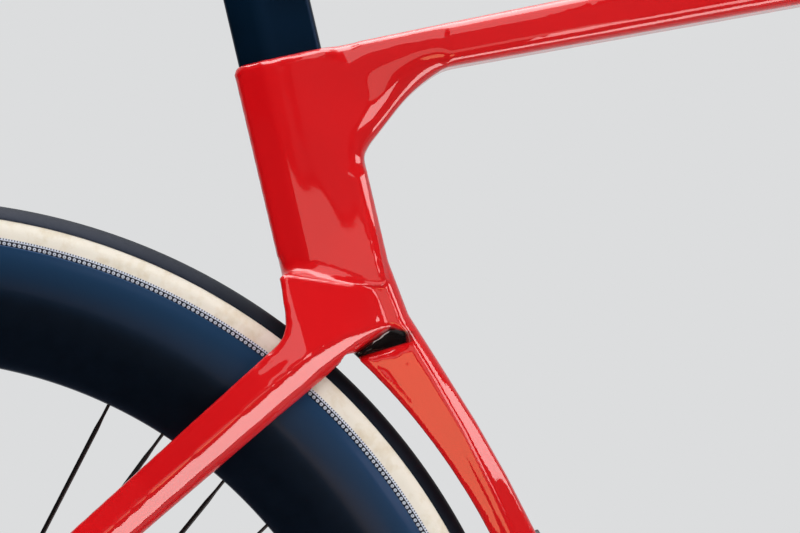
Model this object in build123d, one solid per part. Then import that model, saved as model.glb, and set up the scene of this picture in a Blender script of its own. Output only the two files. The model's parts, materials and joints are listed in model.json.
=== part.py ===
from build123d import *
import os
from math import cos, pi, radians, sin, sqrt, tan

# Rear part of an aero road bike: painted carbon frame, seatpost and disc-brake rear wheel.
# Millimetres. Origin at the centre of the bottom bracket, +X forward, +Y left, +Z up.

os.makedirs("parts", exist_ok=True)

# Rear wheel
rim_edge_radius = 317.0
tyre_height = 20.0
tyre_width = 26.0
rim_depth = 65.0
rim_width = 28.0
spokes_per_side = 12
hub_width = 142.0
wheel_gap = 11.6
slot_half_width = 19.5
slot_corner = 5.0

# Frame layout
bracket_space = 68.0
bracket_drop = 72.0
frame_reach = 385.0
frame_stack = 556.0
head_angle = 73.0
head_length = 144.0

# Seat tube and post
seat_lean = 9.2
seat_depth = 56.5
seat_half_width = 15.0
seat_foot_angle = 51.54
seat_foot_space = 5.5
seat_overlap = 13.0
cluster_height = 117.6
post_depth = 44.6
post_width = 20.0
post_wall = 3.0
post_clearance = 0.15
wedge_clearance = 0.1
post_insert = 94.0
post_exposed = 206.6
socket_depth = 118.0
lower_half_width = 15.0
lower_lean = 17.0

# Top tube
top_slope = 7.45
top_depth_rear = 23.0
top_depth_front = 34.0
top_width_rear = 30.0
top_width_front = 38.0
top_joint = 118.0

# Corner web between the seat tube and the top tube
web_half_width = 11.5
web_foot = 57.0
web_lower_radius = 24.0
web_upper_radius = 80.0

# Bottom bracket
shell_radius = 27.0
shell_width = 86.5
bracket_bore = 23.0
spindle_radius = 12.0
running_gap = 0.05
bearing_width = 11.0
cup_flange = 1.6
edge_break = 0.8

# Head tube
headset_height = 8.0
upper_bearing_radius = 20.9
upper_steerer_radius = 15.1
lower_bearing_radius = 26.0
lower_steerer_radius = 20.0
head_wall = 3.6
head_fairing = 62.0
head_tail = 9.0
head_seat_step = 3.0
head_shoulder_place = 0.5
head_shoulder_share = 0.86
down_end_fore = -22.0
down_end_rise = 42.0

# Axle and dropouts
axle_radius = 6.0
axle_head_radius = 9.0
axle_head_length = 5.0
hub_axle_radius = 8.5
end_cap_radius = 11.0
end_cap_length = 2.6
dropout_thickness = 8.0
dropout_radius = 17.0
hanger_thickness = 7.0
hanger_radius = 13.0
hanger_tip_radius = 9.0
hanger_drop = 28.0
hanger_back = 8.0
hanger_thread = 5.0

# Brake
rotor_radius = 70.0
rotor_thickness = 1.8
rotor_inset = 15.3
rotor_band = 15.0
rotor_arms = 6
arm_middle = 39.0
arm_offset = 8.0
arm_rake = 20.0
arm_length = 40.0
arm_width = 7.0
carrier_radius = 24.0
spline_radius = 17.0
caliper_angle = 26.0
caliper_radius = 62.0
caliper_length = 62.0
caliper_width = 32.0
caliper_depth = 26.0
caliper_slot = 12.0
caliper_bridge = 4.0
caliper_corner = 9.0
pad_gap = 0.5
pad_length = 26.0
pad_height = 16.0
pad_drop = 3.0

# Sprockets
chain_pitch = 12.7
roller_radius = 3.9
sprocket_teeth = (11, 12, 13, 14, 15, 17, 19, 21, 23, 25, 28)
sprocket_pitch = 3.6
sprocket_thickness = 1.6
tooth_height = 2.6
first_sprocket_inset = 6.0
freehub_radius = 17.0
carrier_wall = 2.0

# Saddle clamp
rail_radius = 3.5
rail_spacing = 44.0
rail_length = 38.0
rail_rise = 14.0
cradle_margin = 7.0
cradle_height = 9.0
clamp_height = 7.0
clamp_corner = 5.0
clamp_gap = 1.2
clamp_bolt_radius = 3.0
clamp_bolt_reach = 8.0
clamp_head_radius = 5.0
clamp_head_height = 4.0
neck_length = 26.0
neck_width = 12.0

# Bottle bosses
boss_radius = 5.5
boss_height = 4.0
boss_sunk = 2.0
boss_thread = 2.5
boss_depth = 9.0
boss_spacing = 64.0
seat_boss_height = 202.0
down_boss_reach = 150.0

# Valve
valve_angle = 200.0
valve_radius = 3.0
valve_reach = 26.0

# Reach of cuts past what they cut
cut_reach = 90.0

# Derived places and directions
tyre_radius = rim_edge_radius + tyre_height
chainstay_length = tyre_radius + bracket_space
axle_x = -sqrt(chainstay_length**2 - bracket_drop**2)
axle_z = bracket_drop
gap_radius = tyre_radius + wheel_gap
rim_inner_radius = rim_edge_radius - rim_depth
hub_face = hub_width / 2
rotor_y = hub_face - rotor_inset
first_sprocket_y = first_sprocket_inset - hub_face
dropout_y = hub_face + dropout_thickness / 2
left = Vector(0, 1, 0)
side_view = Plane(origin=(0, 0, 0), x_dir=(1, 0, 0), z_dir=(0, -1, 0))


def polar(angle, radius):
    """Side-view point at an angle and a distance from the rear axle."""
    return (axle_x + radius * cos(radians(angle)), axle_z + radius * sin(radians(angle)))


def slant(angle):
    """Unit vector in the side view that rises by an angle."""
    return Vector(cos(radians(angle)), 0, sin(radians(angle)))


seat_foot = polar(seat_foot_angle, gap_radius + seat_foot_space)
seat_rear = Vector(seat_foot[0], 0, seat_foot[1])
seat_fore = slant(seat_lean)
seat_up = slant(seat_lean + 90)
top_fore = slant(top_slope)
top_up = slant(top_slope + 90)
top_corner = seat_rear + seat_up * cluster_height
head_top = Vector(frame_reach, 0, frame_stack)
head_down = slant(-head_angle)
head_fore = slant(90 - head_angle)
top_length = (frame_reach - top_corner.X) / cos(radians(top_slope))
lower_fore = slant(lower_lean)
post_top = top_corner.Z + post_exposed


# Helpers


def save(shape, node, tone):
    shape.label = node
    shape.color = Color(*tone)
    export_step(shape, "parts/" + node + ".step")


def largest(shape):
    """The biggest solid that a cut leaves."""
    return Part(shape.solids().sort_by(SortBy.VOLUME)[-1].wrapped)


def ruled(wires):
    return Part(Solid.make_loft(wires, True).wrapped)


def halves(point, direction, size=1600.0):
    """Boxes behind and ahead of a plane, for cutting forms in two."""
    plane = Plane(origin=point, z_dir=direction)
    block = Box(size, size, size)
    return plane * Pos(0, 0, -size / 2) * block, plane * Pos(0, 0, size / 2) * block


def seat_point(fore, rise):
    place = seat_rear + seat_fore * fore + seat_up * rise
    return (place.X, place.Z)


def top_point(fore, rise):
    place = top_corner + top_fore * fore + top_up * rise
    return (place.X, place.Z)


def tube(radius, y_low, y_high, x=0.0, z=0.0):
    middle = (y_low + y_high) / 2
    return Pos(x, middle, z) * Rot(90, 0, 0) * Cylinder(radius, abs(y_high - y_low))


def ring(outer, inner, y_low, y_high, x=0.0, z=0.0):
    return tube(outer, y_low, y_high, x, z) - tube(inner, y_low - 1, y_high + 1, x, z)


def wheel_tube(radius, y_low, y_high):
    return tube(radius, y_low, y_high, axle_x, axle_z)


def wheel_ring(outer, inner, y_low, y_high):
    return ring(outer, inner, y_low, y_high, axle_x, axle_z)


def turned(points):
    """Solid turned about the wheel's axle from its half section in (radius, y)."""
    flat = make_face(Polyline(*[(radius, y, 0) for radius, y in points], close=True))
    return Pos(axle_x, 0, axle_z) * revolve(flat, Axis.Y, 360)


def prism(points, half_width, rounds=()):
    """Side-view outline made solid about the middle plane, with rounds of (corner, radius)."""
    face = make_face(side_view * Polyline(*points, close=True))
    for index, radius in rounds:
        corner = Vector(points[index][0], 0, points[index][1])
        face = fillet(face.vertices().sort_by_distance(corner)[0], radius)
    return extrude(face, amount=half_width, both=True)


def section(fore, aft, corners, middle=0.0):
    """Rounded section wire between two side-view points.

    Corners are (share of the way from aft to fore, y, radius), from aft to fore on the left;
    they are mirrored about the middle, a y of its own for a tube on one side.
    """
    start = Vector(aft[0], middle, aft[1])
    run = Vector(fore[0], middle, fore[1]) - start
    spots = [(start + run * share + left * y, radius) for share, y, radius in corners]
    spots += [(start + run * share - left * y, radius) for share, y, radius in reversed(corners)]
    face = make_face(Polyline(*[spot for spot, radius in spots], close=True))
    for spot, radius in spots:
        face = fillet(face.vertices().sort_by_distance(spot)[0], radius)
    return face.face().outer_wire()




# Seat cluster

# Upper seat tube's flank: (share of the depth from the tail, y, corner radius)
seat_corners = (
    (0.0, 7.6, 5.0),
    (0.28, 13.2, 25.0),
    (0.6, seat_half_width, 40.0),
    (0.92, seat_half_width, 2.0),
    (1.0, 10.2, 3.5),
)


def upper_seat_tube():
    ends = [
        section(seat_point(seat_depth, rise), seat_point(0, rise), seat_corners)
        for rise in (-seat_overlap, cluster_height + seat_overlap)
    ]
    return ruled(ends)


# Corner web: (distance from the seat tube's front edge, rise along the tube),
# then (distance along the top tube, height above its underside)
web_seat_points = (
    (-20.0, cluster_height - 6.0),
    (-20.0, web_foot - 14.0),
    (-3.0, web_foot - 14.0),
    (-1.0, web_foot),
)
web_top_points = ((100.0, 1.0), (190.0, 8.0), (190.0, 13.0))


def corner_web():
    """Web that fills the corner between the seat tube's front edge and the top tube."""
    points = [seat_point(seat_depth + fore, rise) for fore, rise in web_seat_points]
    points += [top_point(fore, rise - top_depth_rear) for fore, rise in web_top_points]
    return prism(points, web_half_width, ((3, web_lower_radius), (4, web_upper_radius)))


# Top tube: (distance along it, width, depth)
top_rows = (
    (24.0, top_width_rear - 8.0, top_depth_rear),
    (top_joint, top_width_rear, top_depth_rear),
    (top_length, top_width_front, top_depth_front),
)
top_corner_share = 0.3


def top_section(fore, width, depth):
    middle = top_corner + top_fore * fore - top_up * (depth / 2)
    plane = Plane(origin=middle, x_dir=left, z_dir=top_fore)
    return (plane * RectangleRounded(width, depth, depth * top_corner_share)).wire()


def top_tube_form():
    return ruled([top_section(*row) for row in top_rows])


# Yoke and seatstays are one form, from the seat tube's front edge to the dropouts.
# Each row places the upper and the lower edge by an angle about the rear axle and a share
# of the gap's radius, and the ridge by its share of the way down.
# Yoke: (upper angle, upper share, lower angle, lower share, ridge, upper y, ridge y, lower y)
yoke_rows = (
    (44.44, 1.1111, 42.27, 1.0644, 0.86, 11.5, 13.5, 12.0),
    (46.24, 1.0890, 42.70, 1.0364, 0.78, 16.0, 19.0, 16.5),
    (48.68, 1.0625, 43.22, 0.9941, 0.73, 19.5, 26.0, 22.0),
    (51.82, 1.0328, 43.69, 0.9344, 0.75, 23.5, 34.0, 28.5),
)
# Stays: (upper angle, upper share, lower angle, lower share, ridge, flare, half width, tuck)
stay_rows = (
    (53.27, 0.9235, 44.40, 0.8570, 0.74, 0.00, 9.2, 11.0),
    (55.18, 0.6754, 46.87, 0.6520, 0.63, 0.08, 8.8, 6.5),
    (58.70, 0.5375, 49.66, 0.5141, 0.60, 0.24, 8.0, 5.2),
    (63.47, 0.3496, 53.34, 0.3395, 0.50, 0.68, 7.2, 3.2),
    (69.66, 0.1671, 50.93, 0.1677, 0.50, 0.98, 6.2, 2.2),
    (73.25, 0.0829, 39.39, 0.0919, 0.50, 1.00, 3.4, 1.0),
)
stay_root_y = 28.8
stay_edge_radius = 3.0
belly_share = 0.3
belly_radius = 1.2
belly_drop = 4.5
space_lead = 22.0
space_tail = 40.0


def gap_share(angle, share):
    return polar(angle, gap_radius * share)


def stay_centre(flare):
    return stay_root_y + flare * (dropout_y - stay_root_y)


def stay_corners(ridge, upper, widest, lower, round_off):
    """Flank with a ridge, a lower facet and a narrow belly that turns under."""
    return (
        (0, lower - belly_drop, belly_radius),
        (belly_share * (1 - ridge), lower, belly_radius),
        (1 - ridge, widest, round_off),
        (1, upper, round_off),
    )


def stay_form():
    """Both stays and the yoke as one closed form, before the wheel's space is cut out."""
    wires = []
    round_off = stay_edge_radius
    for high, high_share, low, low_share, ridge, upper, widest, lower in yoke_rows:
        corners = stay_corners(ridge, upper, widest, lower, round_off)
        wires.append(section(gap_share(high, high_share), gap_share(low, low_share), corners))
    for high, high_share, low, low_share, ridge, flare, half, tuck in stay_rows:
        widest = stay_centre(flare) + half
        lower = widest - half * 0.6
        edge = round_off if half > 6 else 1.0
        corners = stay_corners(ridge, widest - tuck, widest, lower, edge)
        wires.append(section(gap_share(high, high_share), gap_share(low, low_share), corners))
    return ruled(wires)


def stay_space():
    """Space between the stays, seen from above."""
    ahead = gap_share(stay_rows[0][0], stay_rows[0][1])[0] + space_lead
    walls = [(ahead, slot_half_width)]
    for high, high_share, low, low_share, ridge, flare, half, _ in stay_rows:
        upper, under = gap_share(high, high_share), gap_share(low, low_share)
        walls.append((upper[0] + (under[0] - upper[0]) * ridge, stay_centre(flare) - half))
    walls.append((walls[-1][0] - space_tail, walls[-1][1]))
    plan = walls + [(x, -y) for x, y in reversed(walls)]
    flat = make_face(Polyline(*[(x, y, 0) for x, y in plan], close=True))
    return extrude(flat, amount=frame_stack)


notch_places = ((49.54, 0.8702), (56.97, 0.5317))
notch_radius = 15.0


def rear_notch():
    """Space behind the seat tube and above the stays, with a round corner between them."""
    near, far = [Vector(*gap_share(*place)) for place in notch_places]
    run = near - far
    wall = seat_point(-3.4, -27.1)
    corner = (wall[0], near.Y + (wall[0] - near.X) * run.Y / run.X)
    beyond = far - run
    points = [
        seat_point(-0.2, 40),
        seat_point(-0.2, 0),
        (corner[0] + 0.3, corner[1] + 12),
        corner,
        (beyond.X, beyond.Y),
        (beyond.X, seat_rear.Z + 60),
    ]
    return prism(points, cut_reach, ((3, notch_radius),))


# Lower seat tube round the wheel: (angle about the axle, thickness from the gap, ridge)
arc_rows = (
    (46.0, 48.8, 0.90),
    (42.0, 34.8, 0.88),
    (37.5, 28.8, 0.84),
    (32.0, 24.6, 0.76),
    (27.0, 22.4, 0.66),
    (22.0, 21.6, 0.60),
    (17.0, 22.9, 0.56),
)
arc_sunk = 5.6
arc_joint = 33.0
# Straight run to the bracket: (height, fore, aft, half width)
run_rows = (
    (110.0, 14.0, 15.0, 15.5),
    (30.0, 21.0, 22.0, 20.0),
    (0.0, 24.0, 24.0, 22.0),
)


def lower_corners(half, ridge):
    return ((0, half * 0.8, 3.0), (ridge, half, 2.5), (1, half * 0.62, 4.5))


def lower_tube_form():
    wires = []
    for angle, thickness, ridge in arc_rows:
        fore = polar(angle, gap_radius + thickness)
        aft = polar(angle, gap_radius - arc_sunk)
        wires.append(section(fore, aft, lower_corners(lower_half_width, ridge)))
    for height, ahead, behind, half in run_rows:
        middle = Vector(-height * tan(radians(lower_lean)), 0, height)
        fore, aft = middle + lower_fore * ahead, middle - lower_fore * behind
        wires.append(section((fore.X, fore.Z), (aft.X, aft.Z), lower_corners(half, 0.56)))
    return ruled(wires) - wheel_tube(gap_radius, -cut_reach, cut_reach)


# Hollow under each stay root: outline as (angle about the axle, share of the gap's radius)
hollow_places = (
    (42.90, 0.9850),
    (42.25, 1.0076),
    (41.67, 1.0234),
    (40.91, 1.0445),
    (40.48, 1.0610),
    (40.45, 1.0720),
    (41.21, 1.0766),
    (41.95, 1.0725),
    (42.55, 1.0640),
    (42.80, 1.0500),
    (43.30, 1.0158),
    (43.70, 0.9850),
)
hollow_slope = 15.5
hollow_end = 1.2


def hollow_cut():
    """Scoop under both stay roots, deepest at the wheel and fading out towards the front."""
    points = [gap_share(*place) for place in hollow_places]
    ahead, behind = max(x for x, _ in points), min(x for x, _ in points)
    shallow = lower_half_width - hollow_end
    deep = shallow - (ahead - behind) * tan(radians(hollow_slope))
    corners = ((behind, deep), (ahead, shallow), (ahead, -shallow), (behind, -deep))
    core = extrude(make_face(Polyline(*[(x, y, 0) for x, y in corners], close=True)), frame_stack)
    return prism(points, 2 * lower_half_width) - core


def wheel_slot():
    slot = wheel_tube(gap_radius, -slot_half_width, slot_half_width)
    return fillet(slot.edges().filter_by(GeomType.CIRCLE), slot_corner)


# Dropouts and chainstays


def hull_plate(circles, inner, outer):
    """Plate between two y planes whose outline is the hull of side-view circles."""
    with BuildSketch(side_view) as profile:
        with BuildSketch(mode=Mode.PRIVATE) as loose:
            for x, z, radius in circles:
                with Locations((x, z)):
                    Circle(radius)
        make_hull(loose.sketch.edges())
    plate = extrude(profile.sketch, amount=-outer)
    return plate - extrude(profile.sketch, amount=-inner)


def on_side(shape, side):
    """The left-hand shape, or its mirror image for the right."""
    return shape if side > 0 else mirror(shape, about=Plane.XZ)


def stay_end():
    """Point and direction where the seatstay gives way to the dropout."""
    ends = []
    for high, high_share, low, low_share, *_ in stay_rows[-2:]:
        upper, under = gap_share(high, high_share), gap_share(low, low_share)
        ends.append(Vector((upper[0] + under[0]) / 2, 0, (upper[1] + under[1]) / 2))
    run = ends[1] - ends[0]
    return ends[0] + run * 0.6, run.normalized()


def chain_end():
    """Point and direction where the chainstay gives way to the dropout."""
    x, z = chain_place(dropout_share)
    spot = Vector(x, 0, z)
    return spot, spot.normalized()


def dropout_form():
    seat_spot, seat_run = stay_end()
    chain_spot, chain_run = chain_end()
    circles = (
        (axle_x, axle_z, dropout_radius),
        (chain_spot.X, chain_spot.Z, chain_rows[-1][2]),
        (seat_spot.X, seat_spot.Z, chain_rows[-1][2]),
    )
    plate = hull_plate(circles, hub_face, hub_face + dropout_thickness)
    return plate - halves(seat_spot, seat_run)[0] - halves(chain_spot, chain_run)[0]


# Chainstay: (share of the way to the axle, flare, half height, half width)
chain_rows = (
    (0.045, 0.0, 21.0, 12.0),
    (0.226, 0.0, 16.5, 8.5),
    (0.477, 0.08, 12.5, 8.5),
    (0.657, 0.44, 11.5, 7.5),
    (0.828, 0.88, 10.5, 6.0),
    (0.925, 1.0, 9.5, 4.2),
)
chain_root_y = 29.0
dropout_share = 0.9


def chain_place(share):
    return (axle_x * share, axle_z * share)


def chainstay_form():
    wires = []
    for share, flare, half_height, half in chain_rows:
        x, z = chain_place(share)
        y = chain_root_y + flare * (dropout_y - chain_root_y)
        round_off = half * 0.45
        corners = ((0, half * 0.8, round_off), (0.45, half, round_off), (1, half * 0.7, round_off))
        wires.append(section((x, z + half_height), (x, z - half_height), corners, y))
    return ruled(wires)


# Bottom bracket


def bracket_shell():
    shell = tube(shell_radius, -shell_width / 2, shell_width / 2)
    shell = chamfer(shell.edges().filter_by(GeomType.CIRCLE), edge_break)
    return shell - tube(bracket_bore, -shell_width, shell_width)


def bracket_cup():
    face = shell_width / 2
    bore = spindle_radius + running_gap
    sleeve = ring(bracket_bore, bore, face - bearing_width, face)
    return sleeve + ring(bracket_bore + cup_flange, bore, face, face + cup_flange)


# Head tube


def head_point(fore, down):
    place = head_top + head_fore * fore + head_down * down
    return (place.X, place.Z)


def head_cylinder(radius, down_start, down_end):
    middle = head_top + head_down * ((down_start + down_end) / 2)
    plane = Plane(origin=middle, x_dir=head_fore, z_dir=head_down)
    return plane * Cylinder(radius, abs(down_end - down_start))


def head_front():
    """Space ahead of the head tube's rear face, which the other tubes stop at."""
    middle = head_top + head_down * (head_length / 2) + head_fore * head_fairing
    plane = Plane(origin=middle, x_dir=head_fore, z_dir=head_down)
    return plane * Box(head_fairing * 1.8, cut_reach, head_length * 2)


def head_section(down, radius):
    """Round nose about the steerer, faired to a narrow tail."""
    middle = head_top + head_down * down
    shoulder = -head_fairing * head_shoulder_place

    def at(fore, across):
        return middle + head_fore * fore + left * across

    full, part = radius, radius * head_shoulder_share
    tail = (at(-head_fairing, -head_tail), at(-head_fairing, head_tail))
    return Wire(
        [
            Edge.make_line(*tail),
            Edge.make_three_point_arc(tail[1], at(shoulder, part), at(0, full)),
            Edge.make_three_point_arc(at(0, full), at(radius, 0), at(0, -full)),
            Edge.make_three_point_arc(at(0, -full), at(shoulder, -part), tail[0]),
        ]
    )


def head_outer():
    upper = head_section(0, upper_bearing_radius + head_wall)
    lower = head_section(head_length, lower_bearing_radius + head_wall)
    return ruled([upper, lower])


def head_tube_form():
    form = head_outer()
    middle = head_length / 2
    upper_seat = upper_bearing_radius - head_seat_step
    lower_seat = lower_bearing_radius - head_seat_step
    form = form - head_cylinder(upper_seat, -1, middle)
    form = form - head_cylinder(lower_seat, middle, head_length + 1)
    form = form - head_cylinder(upper_bearing_radius, -1, headset_height)
    return form - head_cylinder(lower_bearing_radius, head_length - headset_height, head_length + 1)


# Down tube: (share of the way from the bracket to the head tube, depth, half width)
down_rows = (
    (0.02, 64.0, 30.0),
    (0.2, 60.0, 25.0),
    (1.0, 66.0, 22.0),
)
down_end = Vector(*head_point(down_end_fore, head_length - down_end_rise))
down_run = Vector(down_end.X, 0, down_end.Y)
down_fore = down_run.normalized()
down_under = Vector(down_fore.Z, 0, -down_fore.X)


def down_tube_form():
    wires = []
    for share, depth, half in down_rows:
        fore = down_run * share + down_under * (depth / 2)
        aft = down_run * share - down_under * (depth / 2)
        corners = ((0, half * 0.7, 7), (0.45, half, 12), (1, half * 0.5, 8))
        wires.append(section((fore.X, fore.Z), (aft.X, aft.Z), corners))
    return ruled(wires)


# Seatpost and its wedge


def post_section(grow, rise):
    aft = post_wall + post_clearance - grow
    fore = aft + post_depth + 2 * grow
    half = post_width / 2 + grow
    corners = ((0, half * 0.5, 3 + grow), (0.4, half, 26 + grow), (1, half * 0.5, 4 + grow))
    return section(seat_point(fore, rise), seat_point(aft, rise), corners)


def seatpost():
    top_rise = (post_top - seat_rear.Z) / cos(radians(seat_lean))
    return ruled([post_section(0, cluster_height - post_insert), post_section(0, top_rise)])


def post_socket():
    low, high = cluster_height - socket_depth, cluster_height + 40
    return ruled([post_section(post_clearance, low), post_section(post_clearance, high)])


wedge_depth = 5.0
wedge_overlap = 6.0
wedge_width = 9.0
wedge_length = 26.0


def post_wedge(grow=0.0):
    """Tapered key ahead of the post, let into the top of the frame."""
    front = post_wall + 2 * post_clearance + post_depth
    aft = front - wedge_overlap
    rise = cluster_height - wedge_length
    points = [
        seat_point(aft, rise - grow),
        seat_point(front + wedge_depth + grow, rise - grow),
        seat_point(front + wedge_depth + grow, cluster_height + 12),
        seat_point(aft, cluster_height + 12),
    ]
    return prism(points, wedge_width / 2 + grow)




# Saddle clamp
rail_z = post_top + rail_rise
clamp_rise = (post_top - seat_rear.Z) / cos(radians(seat_lean))
clamp_x = seat_point(post_wall + post_depth / 2, clamp_rise)[0]
clamp_width = rail_spacing + 2 * cradle_margin


def rail_bores():
    bores = [
        Pos(clamp_x, side * rail_spacing / 2, rail_z) * Rot(0, 90, 0) * Cylinder(rail_radius, 60)
        for side in (1, -1)
    ]
    return bores[0] + bores[1]


def clamp_plate(height, z):
    plate = Box(rail_length, clamp_width, height)
    plate = fillet(plate.edges().filter_by(Axis.Z), clamp_corner)
    return Pos(clamp_x, 0, z) * plate


def rail_cradle():
    plate = clamp_plate(cradle_height, rail_z - (cradle_height + clamp_gap) / 2)
    low, high = post_top - 3, rail_z - cradle_height / 2
    neck = Pos(clamp_x, 0, (low + high) / 2) * Box(neck_length, neck_width, high - low)
    bolt_hole = Pos(clamp_x, 0, rail_z) * Cylinder(clamp_bolt_radius, 2 * clamp_bolt_reach)
    return plate + neck - rail_bores() - seatpost() - bolt_hole


def rail_clamp():
    plate = clamp_plate(clamp_height, rail_z + (clamp_height + clamp_gap) / 2)
    return plate - rail_bores() - Pos(clamp_x, 0, rail_z) * Cylinder(clamp_bolt_radius + 0.2, 30)


def clamp_bolt():
    seat = rail_z + clamp_height + clamp_gap / 2
    foot = rail_z - clamp_bolt_reach
    shank = Pos(clamp_x, 0, (foot + seat) / 2) * Cylinder(clamp_bolt_radius, seat - foot)
    middle = seat + clamp_head_height / 2
    head = Pos(clamp_x, 0, middle) * Cylinder(clamp_head_radius, clamp_head_height)
    socket = Pos(clamp_x, 0, middle + 1) * Cylinder(clamp_head_radius / 2, clamp_head_height)
    return shank + head - socket


# Tyre and rim: half sections as (height above the rim's edge, share of the half width)
tyre_skin = (
    (-5.0, 0.69),
    (0.0, 0.85),
    (4.0, 0.98),
    (8.5, 1.0),
    (13.0, 0.88),
    (17.0, 0.6),
    (tyre_height - 0.6, 0.28),
    (tyre_height, 0.0),
)
tyre_inside = ((tyre_height - 4, 0.0), (12.0, 0.6), (6.0, 0.75), (-5.0, 0.46))
rim_skin = (
    (-rim_depth, 0.0),
    (1.5 - rim_depth, 0.22),
    (6 - rim_depth, 0.36),
    (26 - rim_depth, 0.8),
    (-26.0, 0.98),
    (-18.0, 1.0),
    (-7.0, 0.97),
    (0.0, 0.87),
)
rim_bed = ((-6.0, 0.64), (-12.0, 0.28))


def tyre():
    half = tyre_width / 2
    outer = [(rim_edge_radius + height, share * half) for height, share in tyre_skin]
    inner = [(rim_edge_radius + height, share * half) for height, share in tyre_inside]
    right_outer = [(radius, -y) for radius, y in reversed(outer[:-1])]
    right_inner = [(radius, -y) for radius, y in reversed(inner[1:])]
    return turned(outer + right_outer + right_inner + inner)


def rim():
    half = rim_width / 2
    skin = [(rim_edge_radius + height, share * half) for height, share in rim_skin]
    edge = tyre_skin[1][1] * tyre_width / 2 + 0.02
    bed = [(rim_edge_radius, edge)]
    bed += [(rim_edge_radius + height, share * half) for height, share in rim_bed]
    side = skin[1:] + bed
    return turned([skin[0]] + side + [(radius, -y) for radius, y in reversed(side)])


# Hub: flange (centre y, radius) on each side
right_flange = (51.0 - hub_face, 23.0)
left_flange = (hub_face - 35.0, 20.0)
flange_half = 1.6
hub_right = 43.0 - hub_face
hub_left = hub_face - 7.0
hub_waist = 12.0
freehub_left = 42.0 - hub_face
freehub_right = 5.0 - hub_face
spoke_width = 2.6
spoke_thickness = 0.9
spoke_lean = 0.64
spoke_start = 0.13


def hub_shell():
    bore = hub_axle_radius + running_gap
    return turned(
        [
            (bore, hub_right),
            (15, hub_right),
            (16, right_flange[0] - 2 * flange_half),
            (right_flange[1], right_flange[0] - flange_half),
            (right_flange[1], right_flange[0] + flange_half),
            (hub_waist, right_flange[0] + 9),
            (hub_waist, left_flange[0] - 8),
            (left_flange[1], left_flange[0] - flange_half),
            (left_flange[1], left_flange[0] + flange_half),
            (spline_radius, left_flange[0] + 6),
            (spline_radius, hub_left),
            (bore, hub_left),
        ]
    )


def spokes():
    made = []
    for y, radius in (right_flange, left_flange):
        for index in range(spokes_per_side):
            pair = -1 if index % 2 else 1
            turn = 2 * pi * index / spokes_per_side + (spoke_start if y > 0 else 0)
            reach = radius - 0.2
            root = Vector(reach * cos(turn), y + pair * 1.1, reach * sin(turn))
            far = turn + pair * spoke_lean
            bed = rim_inner_radius + 2
            tip = Vector(bed * cos(far), 1.5 if y > 0 else -1.5, bed * sin(far))
            run = tip - root
            plane = Plane(origin=root, x_dir=run.cross(left), z_dir=run)
            blade = plane * extrude(Rectangle(spoke_width, spoke_thickness), run.length)
            made.append(Pos(axle_x, 0, axle_z) * blade)
    return made


# Brake


def rotor():
    """Braking ring on raked arms, with a splined carrier."""
    low, high = rotor_y - rotor_thickness / 2, rotor_y + rotor_thickness / 2
    disc = wheel_ring(rotor_radius, rotor_radius - rotor_band, low, high)
    disc = disc + wheel_ring(carrier_radius, spline_radius + 0.3, low, high)
    for index in range(rotor_arms):
        place = Rot(0, index * 360 / rotor_arms, 0) * Pos(arm_middle, 0, arm_offset)
        arm = place * Rot(0, -arm_rake, 0) * Box(arm_length, rotor_thickness, arm_width)
        disc = disc + Pos(axle_x, rotor_y, axle_z) * arm
    return disc - wheel_tube(spline_radius, low - 1, high + 1)


def rotor_lockring():
    face = rotor_y + rotor_thickness / 2
    return wheel_ring(spline_radius + 4, spline_radius + 0.02, face, face + 3.3)


def caliper_place():
    x, z = polar(caliper_angle, caliper_radius)
    return Pos(x, rotor_y, z) * Rot(0, 90 - caliper_angle, 0)


def brake_caliper():
    body = Box(caliper_length, caliper_width, caliper_depth)
    body = fillet(body.edges().filter_by(Axis.Y), caliper_corner)
    body = chamfer(body.edges().group_by(Axis.Y)[-1], 2)
    slot = Pos(0, 0, -caliper_bridge) * Box(caliper_length * 2, caliper_slot, caliper_depth)
    return caliper_place() * (body - slot)


def brake_pad(side):
    inner = rotor_thickness / 2 + pad_gap
    outer = caliper_slot / 2 - 0.1
    pad = Box(pad_length, outer - inner, pad_height)
    return caliper_place() * Pos(0, side * (inner + outer) / 2, -pad_drop) * pad


# Sprockets


def pitch_radius(teeth):
    return chain_pitch / (2 * sin(pi / teeth))


def sprocket(teeth, y):
    """Toothed plate whose valleys hold the chain's rollers."""
    step = 2 * pi / teeth
    root, tip = pitch_radius(teeth) - roller_radius, pitch_radius(teeth) + tooth_height
    points = []
    for index in range(teeth):
        for share, radius in ((-0.30, root), (-0.12, tip), (0.12, tip), (0.30, root)):
            angle = (index + share) * step
            points.append((radius * cos(angle), radius * sin(angle)))
    flat = make_face(side_view * Polyline(*points, close=True))
    return Pos(axle_x, y, axle_z) * extrude(flat, sprocket_thickness / 2, both=True)


def cassette():
    last = first_sprocket_y + (len(sprocket_teeth) - 1) * sprocket_pitch
    cluster = wheel_tube(freehub_radius + carrier_wall, first_sprocket_y, last)
    for index, teeth in enumerate(sprocket_teeth):
        cluster = cluster + sprocket(teeth, first_sprocket_y + index * sprocket_pitch)
    return cluster - wheel_tube(freehub_radius, first_sprocket_y - 10, last + 10)


def freehub():
    return wheel_ring(freehub_radius, hub_axle_radius + running_gap, freehub_right, freehub_left)


def cassette_lockring():
    y = first_sprocket_y - sprocket_thickness / 2
    return wheel_ring(freehub_radius - 0.5, end_cap_radius + 1.5, y - 2.4, freehub_right)


# Axle


def hub_axle():
    core = wheel_tube(hub_axle_radius, -hub_face, hub_face)
    core = core + wheel_tube(end_cap_radius, hub_face - end_cap_length, hub_face)
    core = core + wheel_tube(end_cap_radius, -hub_face, end_cap_length - hub_face)
    return core - wheel_tube(axle_radius + running_gap, -hub_face - 1, hub_face + 1)


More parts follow.
